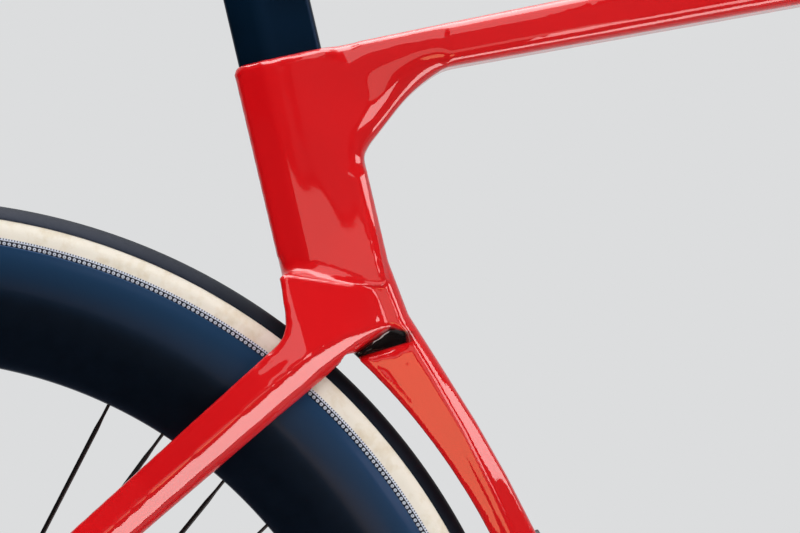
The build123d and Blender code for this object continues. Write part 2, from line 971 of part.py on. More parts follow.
def through_axle():
    reach = hub_face + dropout_thickness
    rod = wheel_tube(axle_radius, -reach - hanger_thickness, reach + 1)
    head = wheel_tube(axle_head_radius, reach, reach + axle_head_length)
    socket = wheel_tube(axle_radius / 2, reach + 1, reach + axle_head_length + 1)
    return rod + head - socket


def hanger():
    """Replaceable plate outside the right dropout, with the derailleur's thread."""
    outer = hub_face + dropout_thickness
    tip = (axle_x - hanger_back, axle_z - hanger_drop)
    circles = ((axle_x, axle_z, hanger_radius), (*tip, hanger_tip_radius))
    plate = on_side(hull_plate(circles, outer, outer + hanger_thickness), -1)
    plate = plate - wheel_tube(axle_radius + running_gap, -outer * 2, 0)
    return plate - tube(hanger_thread, -outer * 2, 0, *tip)


# Valve


def valve_place(radius):
    outward = slant(valve_angle)
    spot = Vector(axle_x, 0, axle_z) + outward * radius
    return Plane(origin=spot, z_dir=outward)


def valve():
    stem = extrude(Circle(valve_radius), valve_reach + 10)
    tip = Pos(0, 0, -8) * extrude(Circle(valve_radius - 1), 8)
    return valve_place(rim_inner_radius - valve_reach) * (stem + tip)


def valve_hole():
    return valve_place(rim_inner_radius - 4) * extrude(Circle(valve_radius), 14)


# Bottle bosses


def boss_places():
    """Each boss as (name, point inside the tube, direction out of it)."""
    places = []
    for name, height in (("upper", seat_boss_height), ("lower", seat_boss_height - boss_spacing)):
        spot = Vector(-height * tan(radians(lower_lean)), 0, height)
        places.append(("seat_" + name, spot, lower_fore))
    for name, reach in (("lower", down_boss_reach), ("upper", down_boss_reach + boss_spacing)):
        places.append(("down_" + name, down_fore * reach, -down_under))
    return places


def skin_reach(owner, spot, outward, most=120.0):
    """Distance from an inner point to a solid's skin along a direction."""
    hits = Edge.make_line(spot, spot + outward * most)
    inside = hits - owner
    return min((edge @ 0 - spot).length for edge in inside.edges())


def main():
    red = (0.75, 0.03, 0.05)
    dark = (0.06, 0.07, 0.09)
    steel = (0.62, 0.63, 0.65)

    # Planes where the tubes join the cluster
    joint_row = stay_rows[2]
    joint_high, joint_low = gap_share(*joint_row[:2]), gap_share(*joint_row[2:4])
    joint = Vector(joint_low[0], 0, joint_low[1])
    along = Vector(joint_high[1] - joint_low[1], 0, joint_low[0] - joint_high[0])
    behind_stay, ahead_stay = halves(joint, along.normalized())
    behind_top, ahead_top = halves(top_corner + top_fore * top_joint, top_fore)
    low_point = polar(arc_joint, gap_radius)
    above_low, below_low = halves(Vector(low_point[0], 0, low_point[1]), slant(arc_joint - 90))
    above_top = halves(top_corner, top_up)[1]
    slot = wheel_slot()

    top_form = top_tube_form()
    lower_form = lower_tube_form() - hollow_cut()
    stays = stay_form() - rear_notch() - stay_space()
    shell_solid = tube(shell_radius, -shell_width / 2, shell_width / 2)

    cluster = upper_seat_tube() - above_top
    cluster = cluster + (corner_web() - ahead_top)
    cluster = cluster + (top_form - ahead_top)
    cluster = cluster + (stays - behind_stay)
    cluster = cluster - slot
    cluster = cluster + (lower_form - below_low)
    cluster = cluster - post_socket() - post_wedge(wedge_clearance)
    save(cluster, "seat_cluster", red)

    wedge = post_wedge() - above_top - post_socket()
    save(wedge, "post_wedge", dark)

    head_block = head_outer() + head_front()
    save(head_tube_form(), "head_tube", red)
    save(largest(top_form - behind_top - head_block), "top_tube", red)
    down_form = largest(down_tube_form() - shell_solid - top_form - head_block)

    lower_tube = largest(lower_form - above_low - shell_solid - down_form)
    for name, spot, outward in boss_places():
        owner = lower_tube if name.startswith("seat") else down_form
        plane = Plane(origin=spot, x_dir=left, z_dir=outward)
        reach = skin_reach(owner, spot, outward)
        mouth = reach + boss_height - boss_sunk
        boss = plane * Pos(0, 0, mouth - boss_height / 2) * Cylinder(boss_radius, boss_height)
        hole = plane * Pos(0, 0, mouth - boss_depth / 2) * Cylinder(boss_thread, boss_depth)
        place = tuple(spot + outward * mouth) + tuple(outward)
        print("thread", name, *[round(value, 4) for value in place])
        if name.startswith("seat"):
            lower_tube = lower_tube - boss - hole
        else:
            down_form = down_form - boss - hole
        save(boss - hole, "bottle_boss_" + name, steel)
    save(lower_tube, "lower_seat_tube", red)
    save(down_form, "down_tube", red)
    save(bracket_shell(), "bottom_bracket_shell", red)

    bore = wheel_tube(axle_radius + running_gap, -hub_width, hub_width)
    for side, word in ((1, "left"), (-1, "right")):
        plate = on_side(dropout_form(), side)
        far_half = halves(Vector(0, 0, 0), left * side)[0]
        stay = largest(stays - ahead_stay - far_half - slot - halves(*stay_end())[1])
        chain = on_side(chainstay_form() - halves(*chain_end())[1], side)
        chain = largest(chain - shell_solid - lower_tube - down_form)
        save(stay, "seatstay_" + word, red)
        save(chain, "chainstay_" + word, red)
        save(plate - bore, "dropout_" + word, red)
        save(on_side(bracket_cup(), side), "bracket_bearing_" + word, steel)

    upper = head_cylinder(upper_bearing_radius, 0, headset_height)
    upper = upper - head_cylinder(upper_steerer_radius, -1, headset_height + 1)
    lower = head_cylinder(lower_bearing_radius, head_length - headset_height, head_length)
    lower = lower - head_cylinder(lower_steerer_radius, head_length - 9, head_length + 1)
    save(upper, "headset_bearing_upper", steel)
    save(lower, "headset_bearing_lower", steel)
    save(hanger(), "derailleur_hanger", steel)
    save(through_axle(), "through_axle", dark)
    save(hub_axle(), "hub_axle", steel)
    caliper = largest(brake_caliper() - stays - chainstay_form())
    save(caliper, "brake_caliper", dark)
    save(brake_pad(1), "brake_pad_outer", dark)
    save(brake_pad(-1), "brake_pad_inner", dark)

    save(seatpost(), "seatpost", dark)
    save(rail_cradle(), "rail_cradle", steel)
    save(rail_clamp(), "rail_clamp", steel)
    save(clamp_bolt(), "clamp_bolt", steel)

    save(tyre(), "tyre", dark)
    save(rim() - valve_hole(), "rim", dark)
    save(hub_shell(), "hub_shell", dark)
    save(Compound(children=spokes()), "spokes", dark)
    save(rotor(), "brake_rotor", steel)
    save(rotor_lockring(), "rotor_lockring", dark)
    save(valve(), "valve", steel)
    save(freehub(), "freehub", steel)
    save(cassette(), "cassette", steel)
    save(cassette_lockring(), "cassette_lockring", steel)


main()
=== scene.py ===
import json
from math import acos, atan2, cos, hypot, pi, radians, sin, tan

import bmesh
import bpy
import numpy as np
from mathutils import Matrix, Vector


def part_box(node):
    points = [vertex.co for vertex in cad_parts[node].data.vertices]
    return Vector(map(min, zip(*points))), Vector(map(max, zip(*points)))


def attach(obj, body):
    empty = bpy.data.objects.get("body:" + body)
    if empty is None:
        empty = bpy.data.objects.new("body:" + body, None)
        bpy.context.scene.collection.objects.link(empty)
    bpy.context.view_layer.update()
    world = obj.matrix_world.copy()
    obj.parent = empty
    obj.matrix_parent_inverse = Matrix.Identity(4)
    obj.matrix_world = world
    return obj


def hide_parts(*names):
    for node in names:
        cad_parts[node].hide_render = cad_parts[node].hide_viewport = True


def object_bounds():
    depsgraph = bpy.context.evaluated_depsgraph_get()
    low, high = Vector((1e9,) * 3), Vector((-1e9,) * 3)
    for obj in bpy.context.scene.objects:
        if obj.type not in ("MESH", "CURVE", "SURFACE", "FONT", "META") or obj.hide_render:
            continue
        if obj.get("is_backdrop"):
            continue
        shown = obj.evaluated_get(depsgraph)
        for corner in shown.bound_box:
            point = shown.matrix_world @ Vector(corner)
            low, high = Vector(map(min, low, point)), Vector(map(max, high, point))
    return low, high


# Rear part of an aero road bike: gloss red carbon frame, navy seatpost, deep dark rim
# and a cream-walled tyre. Metres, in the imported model's own frame.

print("stage: frame")
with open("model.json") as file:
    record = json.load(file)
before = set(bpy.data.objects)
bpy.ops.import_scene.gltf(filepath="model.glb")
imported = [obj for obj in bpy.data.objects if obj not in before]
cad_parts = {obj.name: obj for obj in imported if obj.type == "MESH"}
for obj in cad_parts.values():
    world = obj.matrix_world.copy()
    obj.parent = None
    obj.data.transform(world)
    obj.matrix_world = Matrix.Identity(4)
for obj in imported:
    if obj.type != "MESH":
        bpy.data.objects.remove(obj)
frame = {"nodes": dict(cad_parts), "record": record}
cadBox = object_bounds()
nodes = frame["nodes"]
record = frame["record"]
joints = {joint["name"]: joint for joint in record["behaviour"]["joints"]}
mounts = {mount["name"]: mount for mount in record["mounts"]}
axle = Vector(joints["wheel_spin"]["pos_m"])
rimEdge = 0.317  # radius where the tyre's casing meets the rim
mm = 0.001


# Colours and shader trees


def linear(hexColour, alpha=1.0):
    channels = [int(hexColour[i : i + 2], 16) / 255 for i in (0, 2, 4)]
    curve = [c / 12.92 if c <= 0.04045 else ((c + 0.055) / 1.055) ** 2.4 for c in channels]
    return (*curve, alpha)


def feed(tree, node, inputs):
    # fills a node's inputs: a plain value, a socket, or another node for its first live output
    for key, value in inputs.items():
        if isinstance(value, bpy.types.Node):
            value = next(socket for socket in value.outputs if socket.enabled)
        if isinstance(value, bpy.types.NodeSocket):
            tree.links.new(value, node.inputs[key])
        else:
            node.inputs[key].default_value = value


def addNode(tree, kind, inputs=None, stops=(), **settings):
    # one node with its properties, its input values or links, and a colour ramp's stops
    made = tree.nodes.new("ShaderNode" + kind)
    for name, value in settings.items():
        setattr(made, name, value)
    feed(tree, made, inputs or {})
    for index, (position, colour) in enumerate(stops):
        element = made.color_ramp.elements[index]
        element.position = position
        element.color = linear(colour)
    return made


def startMaterial(name, **sockets):
    material = bpy.data.materials.new(name)
    material.use_nodes = True
    tree = material.node_tree
    shader = tree.nodes["Principled BSDF"]
    for key, value in sockets.items():
        shader.inputs[key.replace("_", " ")].default_value = value
    place = addNode(tree, "TexCoord").outputs["Object"]
    return material, tree, shader, place


def perMetre(millimetres):
    # noise scale whose cells are about that many millimetres across
    return 1000.0 / millimetres


redPaint = {
    "deep": "CE020A",
    "bright": "DE030D",
    # near black of the painted shadow in the hollow under each stay root
    "shade": "0B0506",
    "cloudMm": 90,
    "wave": (24, 0.045),  # size and depth, millimetres
    "peel": (2.6, 0.003),  # real orange peel is about 1 mm, drawn coarser to show
    "lipDepthMm": 0.6,
    "lipHalfMm": 2.4,
    "cornerMm": 3.0,
    "lipFront": 78.3,  # offsets of the lip's front and bottom lines from the origin, millimetres
    "lipBottom": 333.9,
}

# Steps over the paint's own x and z in millimetres: the painted shadow in the hollow under each
# stay root
#  lies between three lines, and the flank panel's lip follows a line with a rounded corner.
paintSteps = (
    ("a1", "MULTIPLY_ADD", "x", -0.234, -332.1),
    ("overLip", "MULTIPLY_ADD", "z", 0.972, "a1"),
    ("inLip", "MULTIPLY", "overLip", 1.4),
    ("lipShare", "MINIMUM", "inLip", 1.0),
    ("a2", "MULTIPLY_ADD", "x", 0.527, 340.7),
    ("underRidge", "MULTIPLY_ADD", "z", -0.85, "a2"),
    ("inRidge", "MULTIPLY", "underRidge", 0.5),
    ("ridgeShare", "MINIMUM", "inRidge", 1.0),
    ("a3", "MULTIPLY_ADD", "x", -0.16, -17.6),
    ("a4", "MULTIPLY_ADD", "x", -0.18, 172.1),
    ("underTop", "MULTIPLY_ADD", "z", -0.6, "a4"),
    ("frontMost", "MINIMUM", "a3", "underTop"),
    ("frontShare", "MINIMUM", "frontMost", 1.0),
    ("hollowShadow1", "MINIMUM", "lipShare", "ridgeShare"),
    ("hollowShadow2", "MINIMUM", "hollowShadow1", "frontShare"),
    ("hollowShadow", "MAXIMUM", "hollowShadow2", 0.0),
    ("u1", "MULTIPLY_ADD", "x", 0.992, "uShift"),
    ("u", "MULTIPLY_ADD", "z", 0.129, "u1"),
    ("v1", "MULTIPLY_ADD", "x", -0.083, "vShift"),
    ("v", "MULTIPLY_ADD", "z", -0.997, "v1"),
    ("u0", "MAXIMUM", "u", 0.0),
    ("v0", "MAXIMUM", "v", 0.0),
    ("uu", "MULTIPLY", "u0", "u0"),
    ("round2", "MULTIPLY_ADD", "v0", "v0", "uu"),
    ("roundOut", "SQRT", "round2"),
    ("uvMost", "MAXIMUM", "u", "v"),
    ("flatIn", "MINIMUM", "uvMost", 0.0),
    ("reach", "ADD", "roundOut", "flatIn"),
    ("offLine", "SUBTRACT", "reach", "cornerMm"),
    ("offBoth", "ABSOLUTE", "offLine"),
    ("bead0", "MULTIPLY_ADD", "offBoth", "beadSlope", 1.0),
    ("bead1", "MAXIMUM", "bead0", 0.0),
    ("bead", "MULTIPLY", "bead1", "bead1"),
    ("rise0", "MULTIPLY_ADD", "v", 0.03, 1.9),
    ("rise1", "MAXIMUM", "rise0", 0.0),
    ("rise", "MINIMUM", "rise1", 1.0),
    ("run0", "MULTIPLY_ADD", "u", 0.12, 1.9),
    ("run1", "MAXIMUM", "run0", 0.0),
    ("run", "MINIMUM", "run1", 1.0),
    ("ends", "MULTIPLY", "rise", "run"),
    ("lip", "MULTIPLY", "bead", "ends"),
)


def makeRedPaint():
    # Two-stage gloss red on carbon: the deep body keeps its red, the clear coat carries
    # sharp pale bands that wander a little, as they do on hand-rubbed lacquer.
    # The hollow under each stay root is painted near black, a painted shadow.
    material, tree, shader, place = startMaterial(
        "clearCoatedRedPaint",
        Roughness=0.5,
        Specular_IOR_Level=0.08,
        Coat_Weight=1.0,
        Coat_Roughness=0.03,
        Coat_IOR=1.5,
    )
    scaled = addNode(tree, "VectorMath", {0: place, "Scale": 1000.0}, operation="SCALE")
    parts = addNode(tree, "SeparateXYZ", {0: scaled}).outputs
    values = {
        "x": parts[0],
        "z": parts[2],
        "uShift": redPaint["lipFront"] + redPaint["cornerMm"],
        "vShift": redPaint["lipBottom"] + redPaint["cornerMm"],
        "cornerMm": redPaint["cornerMm"],
        "beadSlope": -1 / redPaint["lipHalfMm"],
    }
    for name, operation, *terms in paintSteps:
        inputs = {index: values.get(term, term) for index, term in enumerate(terms)}
        values[name] = addNode(tree, "Math", inputs, operation=operation)
    cloud = addNode(tree, "TexNoise", {"Vector": place, "Scale": perMetre(redPaint["cloudMm"])})
    stops = ((0.3, redPaint["deep"]), (0.7, redPaint["bright"]))
    body = addNode(tree, "ValToRGB", {"Fac": cloud}, stops)
    # painted shadow: the hollow under each stay root turns near black
    inputs = {0: values["hollowShadow"], 6: body, 7: linear(redPaint["shade"])}
    shade = addNode(tree, "Mix", inputs, data_type="RGBA")
    inputs = {"Height": values["lip"], "Distance": redPaint["lipDepthMm"] * mm}
    lip = uneven = addNode(tree, "Bump", inputs)
    for size, depth in (redPaint["wave"], redPaint["peel"]):
        noise = addNode(
            tree, "TexNoise", {"Vector": place, "Scale": perMetre(size), "Detail": 1.0}
        )
        inputs = {"Height": noise, "Distance": depth * mm, "Normal": uneven}
        uneven = addNode(tree, "Bump", inputs)
    feed(tree, shader, {"Base Color": shade, "Normal": lip, "Coat Normal": uneven})
    return material


darkCarbon = {
    "deep": "030609",
    "bright": "050A10",
    # deep navy of the painted sheen at the rim's edge
    "edge": "14304A",
    "tint": "6F9FE6",
    "towMm": 9,
    "fibreMm": 0.9,  # real fibres are far finer, drawn coarser to show
    "rough": (0.3, 0.42),
    "fadeFrom": 286.0,  # mm from the axle, where the painted blue sheen starts to show
    "fadeTo": 319.0,
}


def makeDarkCarbon():
    # Satin lacquer with a blue-tinted gloss over unidirectional carbon: near black inside, with a
    #  painted sheen that turns it deep navy towards the rim's edge.
    material, tree, shader, place = startMaterial(
        "carbonLacquerPaintedSheen",
        Specular_Tint=linear(darkCarbon["tint"]),
        Coat_Weight=0.08,
        Coat_Roughness=0.14,
    )
    tow = addNode(tree, "TexNoise", {"Vector": place, "Scale": perMetre(darkCarbon["towMm"])})
    stops = ((0.3, darkCarbon["deep"]), (0.7, darkCarbon["bright"]))
    body = addNode(tree, "ValToRGB", {"Fac": tow}, stops)
    # painted sheen: between fadeFrom and fadeTo millimetres from the axle the colour turns to the
    # navy of the edge
    centred = addNode(tree, "VectorMath", {0: place, 1: tuple(axle)}, operation="SUBTRACT")
    flat = addNode(tree, "VectorMath", {0: centred, 1: (1.0, 0.0, 1.0)}, operation="MULTIPLY")
    radius = addNode(tree, "VectorMath", {0: flat}, operation="LENGTH")
    start, end = darkCarbon["fadeFrom"] * mm, darkCarbon["fadeTo"] * mm
    inputs = {"Value": radius, "From Min": start, "From Max": end}
    fade = addNode(tree, "MapRange", inputs, interpolation_type="SMOOTHSTEP")
    inputs = {0: fade, 6: body, 7: linear(darkCarbon["edge"])}
    shade = addNode(tree, "Mix", inputs, data_type="RGBA")
    inputs = {"Vector": place, "Scale": perMetre(darkCarbon["fibreMm"]), "Detail": 2.0}
    fibre = addNode(tree, "TexNoise", inputs)
    low, high = darkCarbon["rough"]
    rough = addNode(tree, "MapRange", {"Value": fibre, "To Min": low, "To Max": high})
    feed(tree, shader, {"Base Color": shade, "Roughness": rough})
    return material


casing = {
    "cream": "F3ECDE",
    "tan": "E4D7BE",
    "strip": "DFE6F4",
    "ink": "0D1426",
    "threadMm": 0.55,  # real threads lie about 0.1 mm apart, drawn coarser to show
    "threadDepthMm": 0.05,
    "blotch": (9, 6.0, 0.6),  # size in millimetres, detail, roughness
    "stripTop": 320.7,  # mm from the axle, where the pale strip ends
    "lineRadius": 319.3,
    "lineSlope": -4.0,
    "tickRadius": 320.3,
    # stitches and rings are finer than a pixel of the picture, so they are drawn a third coarser
    "tickPitchMm": 1.5,
    "ringRadius": 318.05,
    "ringHalf": 0.58,
    "ringPitchMm": 2.7,
}

# Steps over the distance from the axle in millimetres and the angle round it: a row of pale
# woven rings on a dark ground, a thin dark line, a pale tape with a row of dark stitches.
casingSteps = (
    ("ringTurn", "MULTIPLY", "around", "ringTurns"),
    ("ringPhase", "FRACT", "ringTurn"),
    ("ringShift", "SUBTRACT", "ringPhase", 0.5),
    ("along", "MULTIPLY", "ringShift", "ringPitchMm"),
    ("across", "SUBTRACT", "radius", "ringRadius"),
    ("alongSquare", "MULTIPLY", "along", "along"),
    ("farSquare", "MULTIPLY_ADD", "across", "across", "alongSquare"),
    ("far", "SQRT", "farSquare"),
    ("offRing", "SUBTRACT", "far", "ringHalf"),
    ("offRingBoth", "ABSOLUTE", "offRing"),
    ("ringPale0", "MULTIPLY_ADD", "offRingBoth", -2.5, 1.32),
    ("ringPale1", "MAXIMUM", "ringPale0", 0.0),
    ("ringPale", "MINIMUM", "ringPale1", 1.0),
    ("onTape", "GREATER_THAN", "radius", "lineRadius"),
    ("groundPale", "MAXIMUM", "ringPale", "onTape"),
    ("offDark", "SUBTRACT", "radius", "lineRadius"),
    ("offDarkBoth", "ABSOLUTE", "offDark"),
    ("darkLine0", "MULTIPLY_ADD", "offDarkBoth", "lineSlope", 1.3),
    ("darkLine", "MAXIMUM", "darkLine0", 0.0),
    ("tickTurn", "MULTIPLY", "around", "tickTurns"),
    ("tickWave", "SINE", "tickTurn"),
    ("tickOn", "MULTIPLY_ADD", "tickWave", 1.4, 0.2),
    ("offTick", "SUBTRACT", "radius", "tickRadius"),
    ("offTickBoth", "ABSOLUTE", "offTick"),
    ("tickNear", "MULTIPLY_ADD", "offTickBoth", -2.6, 1.4),
    ("tickInk0", "MINIMUM", "tickOn", "tickNear"),
    ("tickInk1", "MAXIMUM", "tickInk0", 0.0),
    ("tickInk", "MINIMUM", "tickInk1", 1.0),
    ("lineOrTick", "MAXIMUM", "darkLine", "tickInk"),
    ("ground", "SUBTRACT", 1.0, "groundPale"),
    ("ink0", "MAXIMUM", "ground", "lineOrTick"),
    ("ink", "MINIMUM", "ink0", 1.0),
    ("onWall", "GREATER_THAN", "radius", "stripTop"),
)


def makeCasing():
    # Natural cotton casing with a woven strip at the rim: a warm cream wall with a faint
    # thread, and a row of fine dark stitches and small woven rings along its lower edge.
    material, tree, shader, place = startMaterial(
        "creamCottonCasing", Roughness=0.65, Specular_IOR_Level=0.2
    )
    centred = addNode(tree, "VectorMath", {0: place, 1: tuple(axle)}, operation="SUBTRACT")
    inputs = {0: centred, 1: (1000.0, 0.0, 1000.0)}
    flat = addNode(tree, "VectorMath", inputs, operation="MULTIPLY")
    length = addNode(tree, "VectorMath", {0: flat}, operation="LENGTH")
    parts = addNode(tree, "SeparateXYZ", {0: flat}).outputs
    around = addNode(tree, "Math", {0: parts[2], 1: parts[0]}, operation="ARCTAN2")
    ringCount = round(2 * pi * casing["ringRadius"] / casing["ringPitchMm"])
    tickCount = round(2 * pi * casing["tickRadius"] / casing["tickPitchMm"])
    values = {
        **casing,
        "radius": length,
        "around": around,
        "ringTurns": ringCount / (2 * pi),
        "tickTurns": float(tickCount),
    }
    for name, operation, *terms in casingSteps:
        inputs = {index: values.get(term, term) for index, term in enumerate(terms)}
        values[name] = addNode(tree, "Math", inputs, operation=operation)
    size, detail, rough = casing["blotch"]
    inputs = {"Vector": place, "Scale": perMetre(size), "Detail": detail, "Roughness": rough}
    blotch = addNode(tree, "TexNoise", inputs)
    stops = ((0.28, casing["tan"]), (0.55, casing["cream"]))
    wall = addNode(tree, "ValToRGB", {"Fac": blotch}, stops)
    inputs = {0: values["ink"], 6: linear(casing["strip"]), 7: linear(casing["ink"])}
    strip = addNode(tree, "Mix", inputs, data_type="RGBA")
    colour = addNode(tree, "Mix", {0: values["onWall"], 6: strip, 7: wall}, data_type="RGBA")
    inputs = {"Vector": place, "Scale": perMetre(casing["threadMm"]), "Detail": 2.0}
    thread = addNode(tree, "TexNoise", inputs)
    inputs = {"Height": thread, "Distance": casing["threadDepthMm"] * mm}
    weave = addNode(tree, "Bump", inputs)
    feed(tree, shader, {"Base Color": colour, "Normal": weave})
    return material


# Finishes with blotched colour and a grain that varies the sheen: what each gives the eye
# stands above it. Grit, turning marks and moulded grain are about 0.1 mm, drawn coarser to show.
grained = {
    # satin navy lacquer over carbon: a dark blue body with one broad soft sheen down the flank
    "satinNavyLacquer": {
        "colours": ((0.3, "010B15"), (0.7, "021424")),
        "patch": (50, 2.0),  # size in millimetres, detail
        "grain": (0.8, 2.0),
        "rough": (0.32, 0.42),
        "pitDepthMm": 0,
        "sockets": {"Specular_Tint": linear("5F8FD0"), "Specular_IOR_Level": 0.3},
    },
    # vulcanised black rubber: a matt dark band with a faint cool sheen along its crown
    "vulcanisedBlackRubber": {
        "colours": ((0.35, "07090B"), (0.7, "101317")),
        "patch": (30, 4.0),
        "grain": (0.8, 3.0),
        "rough": (0.5, 0.68),
        "pitDepthMm": 0.04,
        "sockets": {"Specular_Tint": linear("8FB2E6"), "Specular_IOR_Level": 0.18},
    },
    # turned steel: bright worn teeth and bearing faces with a fine grain
    "turnedSteel": {
        "colours": ((0.3, "8C8F94"), (0.7, "B4B6BA")),
        "patch": (14, 3.0),
        "grain": (0.35, 3.0),
        "rough": (0.2, 0.34),
        "pitDepthMm": 0.008,
        "sockets": {"Metallic": 1.0},
    },
    # bead-blasted aluminium: a soft grey sheen
    "blastedAluminium": {
        "colours": ((0.3, "8B8E94"), (0.7, "A6A8AD")),
        "patch": (14, 3.0),
        "grain": (0.3, 3.0),
        "rough": (0.36, 0.48),
        "pitDepthMm": 0.008,
        "sockets": {"Metallic": 1.0},
    },
    # black anodised aluminium: deep black with thin pale edges where light rolls over
    "blackAnodisedAluminium": {
        "colours": ((0.3, "0E0F11"), (0.7, "17181B")),
        "patch": (14, 3.0),
        "grain": (0.4, 3.0),
        "rough": (0.3, 0.44),
        "pitDepthMm": 0.008,
        "sockets": {"Metallic": 0.5},
    },
    # sintered brake pad compound: a dull brown crumbly block
    "sinteredPadCompound": {
        "colours": ((0.3, "3A3029"), (0.7, "5B4B3D")),
        "patch": (14, 3.0),
        "grain": (0.5, 3.0),
        "rough": (0.75, 0.95),
        "pitDepthMm": 0.008,
        "sockets": {"Metallic": 0.0},
    },
}


def makeGrained(name):
    look = grained[name]
    material, tree, shader, place = startMaterial(name, **look["sockets"])
    patch, grain = (
        addNode(tree, "TexNoise", {"Vector": place, "Scale": perMetre(size), "Detail": detail})
        for size, detail in (look["patch"], look["grain"])
    )
    shade = addNode(tree, "ValToRGB", {"Fac": patch}, look["colours"])
    low, high = look["rough"]
    rough = addNode(tree, "MapRange", {"Value": grain, "To Min": low, "To Max": high})
    feed(tree, shader, {"Base Color": shade, "Roughness": rough})
    if look["pitDepthMm"]:
        pits = addNode(tree, "Bump", {"Height": grain, "Distance": look["pitDepthMm"] * mm})
        feed(tree, shader, {"Normal": pits})
    return material


print("stage: materials")
paint = makeRedPaint()
carbon = makeDarkCarbon()
cloth = makeCasing()
finish = {name: makeGrained(name) for name in grained}
navy = finish["satinNavyLacquer"]
rubber = finish["vulcanisedBlackRubber"]
steel = finish["turnedSteel"]
alloy = finish["blastedAluminium"]
black = finish["blackAnodisedAluminium"]


# Mesh tools

weldGap = 1e-7  # metres
sharpFrom = 35  # degrees between faces, above which an edge stays sharp


def addObject(name, data):
    made = bpy.data.objects.new(name, data)
    bpy.context.scene.collection.objects.link(made)
    return made


def addPiece(name, mesh, materials, body, slot, *replaced):
    piece = addObject(name, mesh)
    for material in materials:
        mesh.materials.append(material)
    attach(piece, body)
    if replaced:
        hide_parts(*replaced)
    return piece


def cleaned(mesh, sharpDegrees):
    # welded, with its faces turned outwards, smooth except at its sharp edges
    build = bmesh.new()
    build.from_mesh(mesh)
    bmesh.ops.remove_doubles(build, verts=build.verts, dist=weldGap)
    bmesh.ops.recalc_face_normals(build, faces=build.faces)
    build.to_mesh(mesh)
    build.free()
    mesh.polygons.foreach_set("use_smooth", [True] * len(mesh.polygons))
    mesh.set_sharp_from_angle(angle=radians(sharpDegrees))
    mesh.update()
    return mesh


def ringFaces(first, rings, count):
    # side faces between rings of points that follow each other, and a cap at each end
    faces = []
    for ring in range(rings - 1):
        here, ahead = first + ring * count, first + (ring + 1) * count
        for i in range(count):
            j = (i + 1) % count
            faces.append((here + i, here + j, ahead + j, ahead + i))
    last = first + rings * count
    return [*faces, tuple(range(first, first + count)), tuple(range(last - count, last))]


def meshOf(name, points, faces, slots=None, sharpDegrees=sharpFrom):
    mesh = bpy.data.meshes.new(name)
    mesh.from_pydata([tuple(point) for point in points], [], faces)
    if slots:
        mesh.polygons.foreach_set("material_index", slots)
    return cleaned(mesh, sharpDegrees)


def joinMeshes(name, meshes):
    build = bmesh.new()
    for mesh in meshes:
        build.from_mesh(mesh)
        bpy.data.meshes.remove(mesh)
    joined = bpy.data.meshes.new(name)
    build.to_mesh(joined)
    build.free()
    joined.set_sharp_from_angle(angle=radians(sharpFrom))
    return joined


def catmull(points, steps):
    # smooth line through the given points
    line = [points[0], *points, points[-1]]
    result = []
    for i in range(1, len(line) - 2):
        p0, p1, p2, p3 = (np.array(p, float) for p in line[i - 1 : i + 3])
        bend = 2 * p0 - 5 * p1 + 4 * p2 - p3
        twist = 3 * p1 - p0 - 3 * p2 + p3
        for step in range(steps):
            t = step / steps
            result.append(0.5 * (2 * p1 + (p2 - p0) * t + bend * t**2 + twist * t**3))
    return [tuple(p) for p in result] + [tuple(points[-1])]


def axisFrame(place, direction):
    # matrix whose Z axis runs along a direction
    turn = Vector(direction).to_track_quat("Z", "Y").to_matrix().to_4x4()
    return Matrix.Translation(place) @ turn


# the wheel's own place: Z along the axle
axleTurn = Matrix(((1, 0, 0, 0), (0, 0, 1, 0), (0, -1, 0, 0), (0, 0, 0, 1)))
wheelFrame = Matrix.Translation(axle) @ axleTurn


def latheMesh(
    name, outline, segments, place, closed=True, slotOf=None, sharpDegrees=sharpFrom
):
    # turns (radius, height) points in millimetres about the place's own Z axis
    points, faces, slots = [], [], []
    count = len(outline)
    for step in range(segments):
        turn = 2 * pi * step / segments
        for radius, height in outline:
            spot = (radius * mm * cos(turn), radius * mm * sin(turn), height * mm)
            points.append(place @ Vector(spot))
    for step in range(segments):
        here, ahead = step * count, (step + 1) % segments * count
        for index in range(count if closed else count - 1):
            other = (index + 1) % count
            faces.append((here + index, ahead + index, ahead + other, here + other))
            if slotOf:
                slots.append(slotOf(outline[index], outline[other]))
    return meshOf(name, points, faces, slots, sharpDegrees)


def circlePoints(radius, count, middle=(0.0, 0.0)):
    turns = [2 * pi * i / count for i in range(count)]
    return [(middle[0] + radius * cos(turn), middle[1] + radius * sin(turn)) for turn in turns]


def finishedMesh(carrier):
    # a new mesh with the object's curve settings or modifiers applied
    return bpy.data.meshes.new_from_object(
        carrier.evaluated_get(bpy.context.evaluated_depsgraph_get())
    )


def plateMesh(name, outlines, low, high, place, edge=0.15):
    # flat plate in millimetres with holes and softened edges, between two heights
    curve = bpy.data.curves.new(name, "CURVE")
    curve.dimensions = "2D"
    curve.fill_mode = "BOTH"
    curve.extrude = (high - low) / 2 - edge
    curve.bevel_depth = edge
    curve.bevel_resolution = 1
    curve.offset = -edge
    for outline in outlines:
        spline = curve.splines.new("POLY")
        spline.points.add(len(outline) - 1)
        spline.use_cyclic_u = True
        for point, (x, y) in zip(spline.points, outline):
            point.co = (x, y, 0, 1)
    carrier = addObject(name, curve)
    bpy.context.view_layer.update()
    mesh = finishedMesh(carrier)
    bpy.data.objects.remove(carrier)
    bpy.data.curves.remove(curve)
    lift = Matrix.Translation((0, 0, (low + high) / 2))
    mesh.transform(place @ Matrix.Diagonal((mm, mm, mm, 1)) @ lift)
    return cleaned(mesh, sharpDegrees=30)


edgeRoll = {"widthMm": 0.25, "segments": 2, "sharpDegrees": 32, "weldGap": 1e-6}


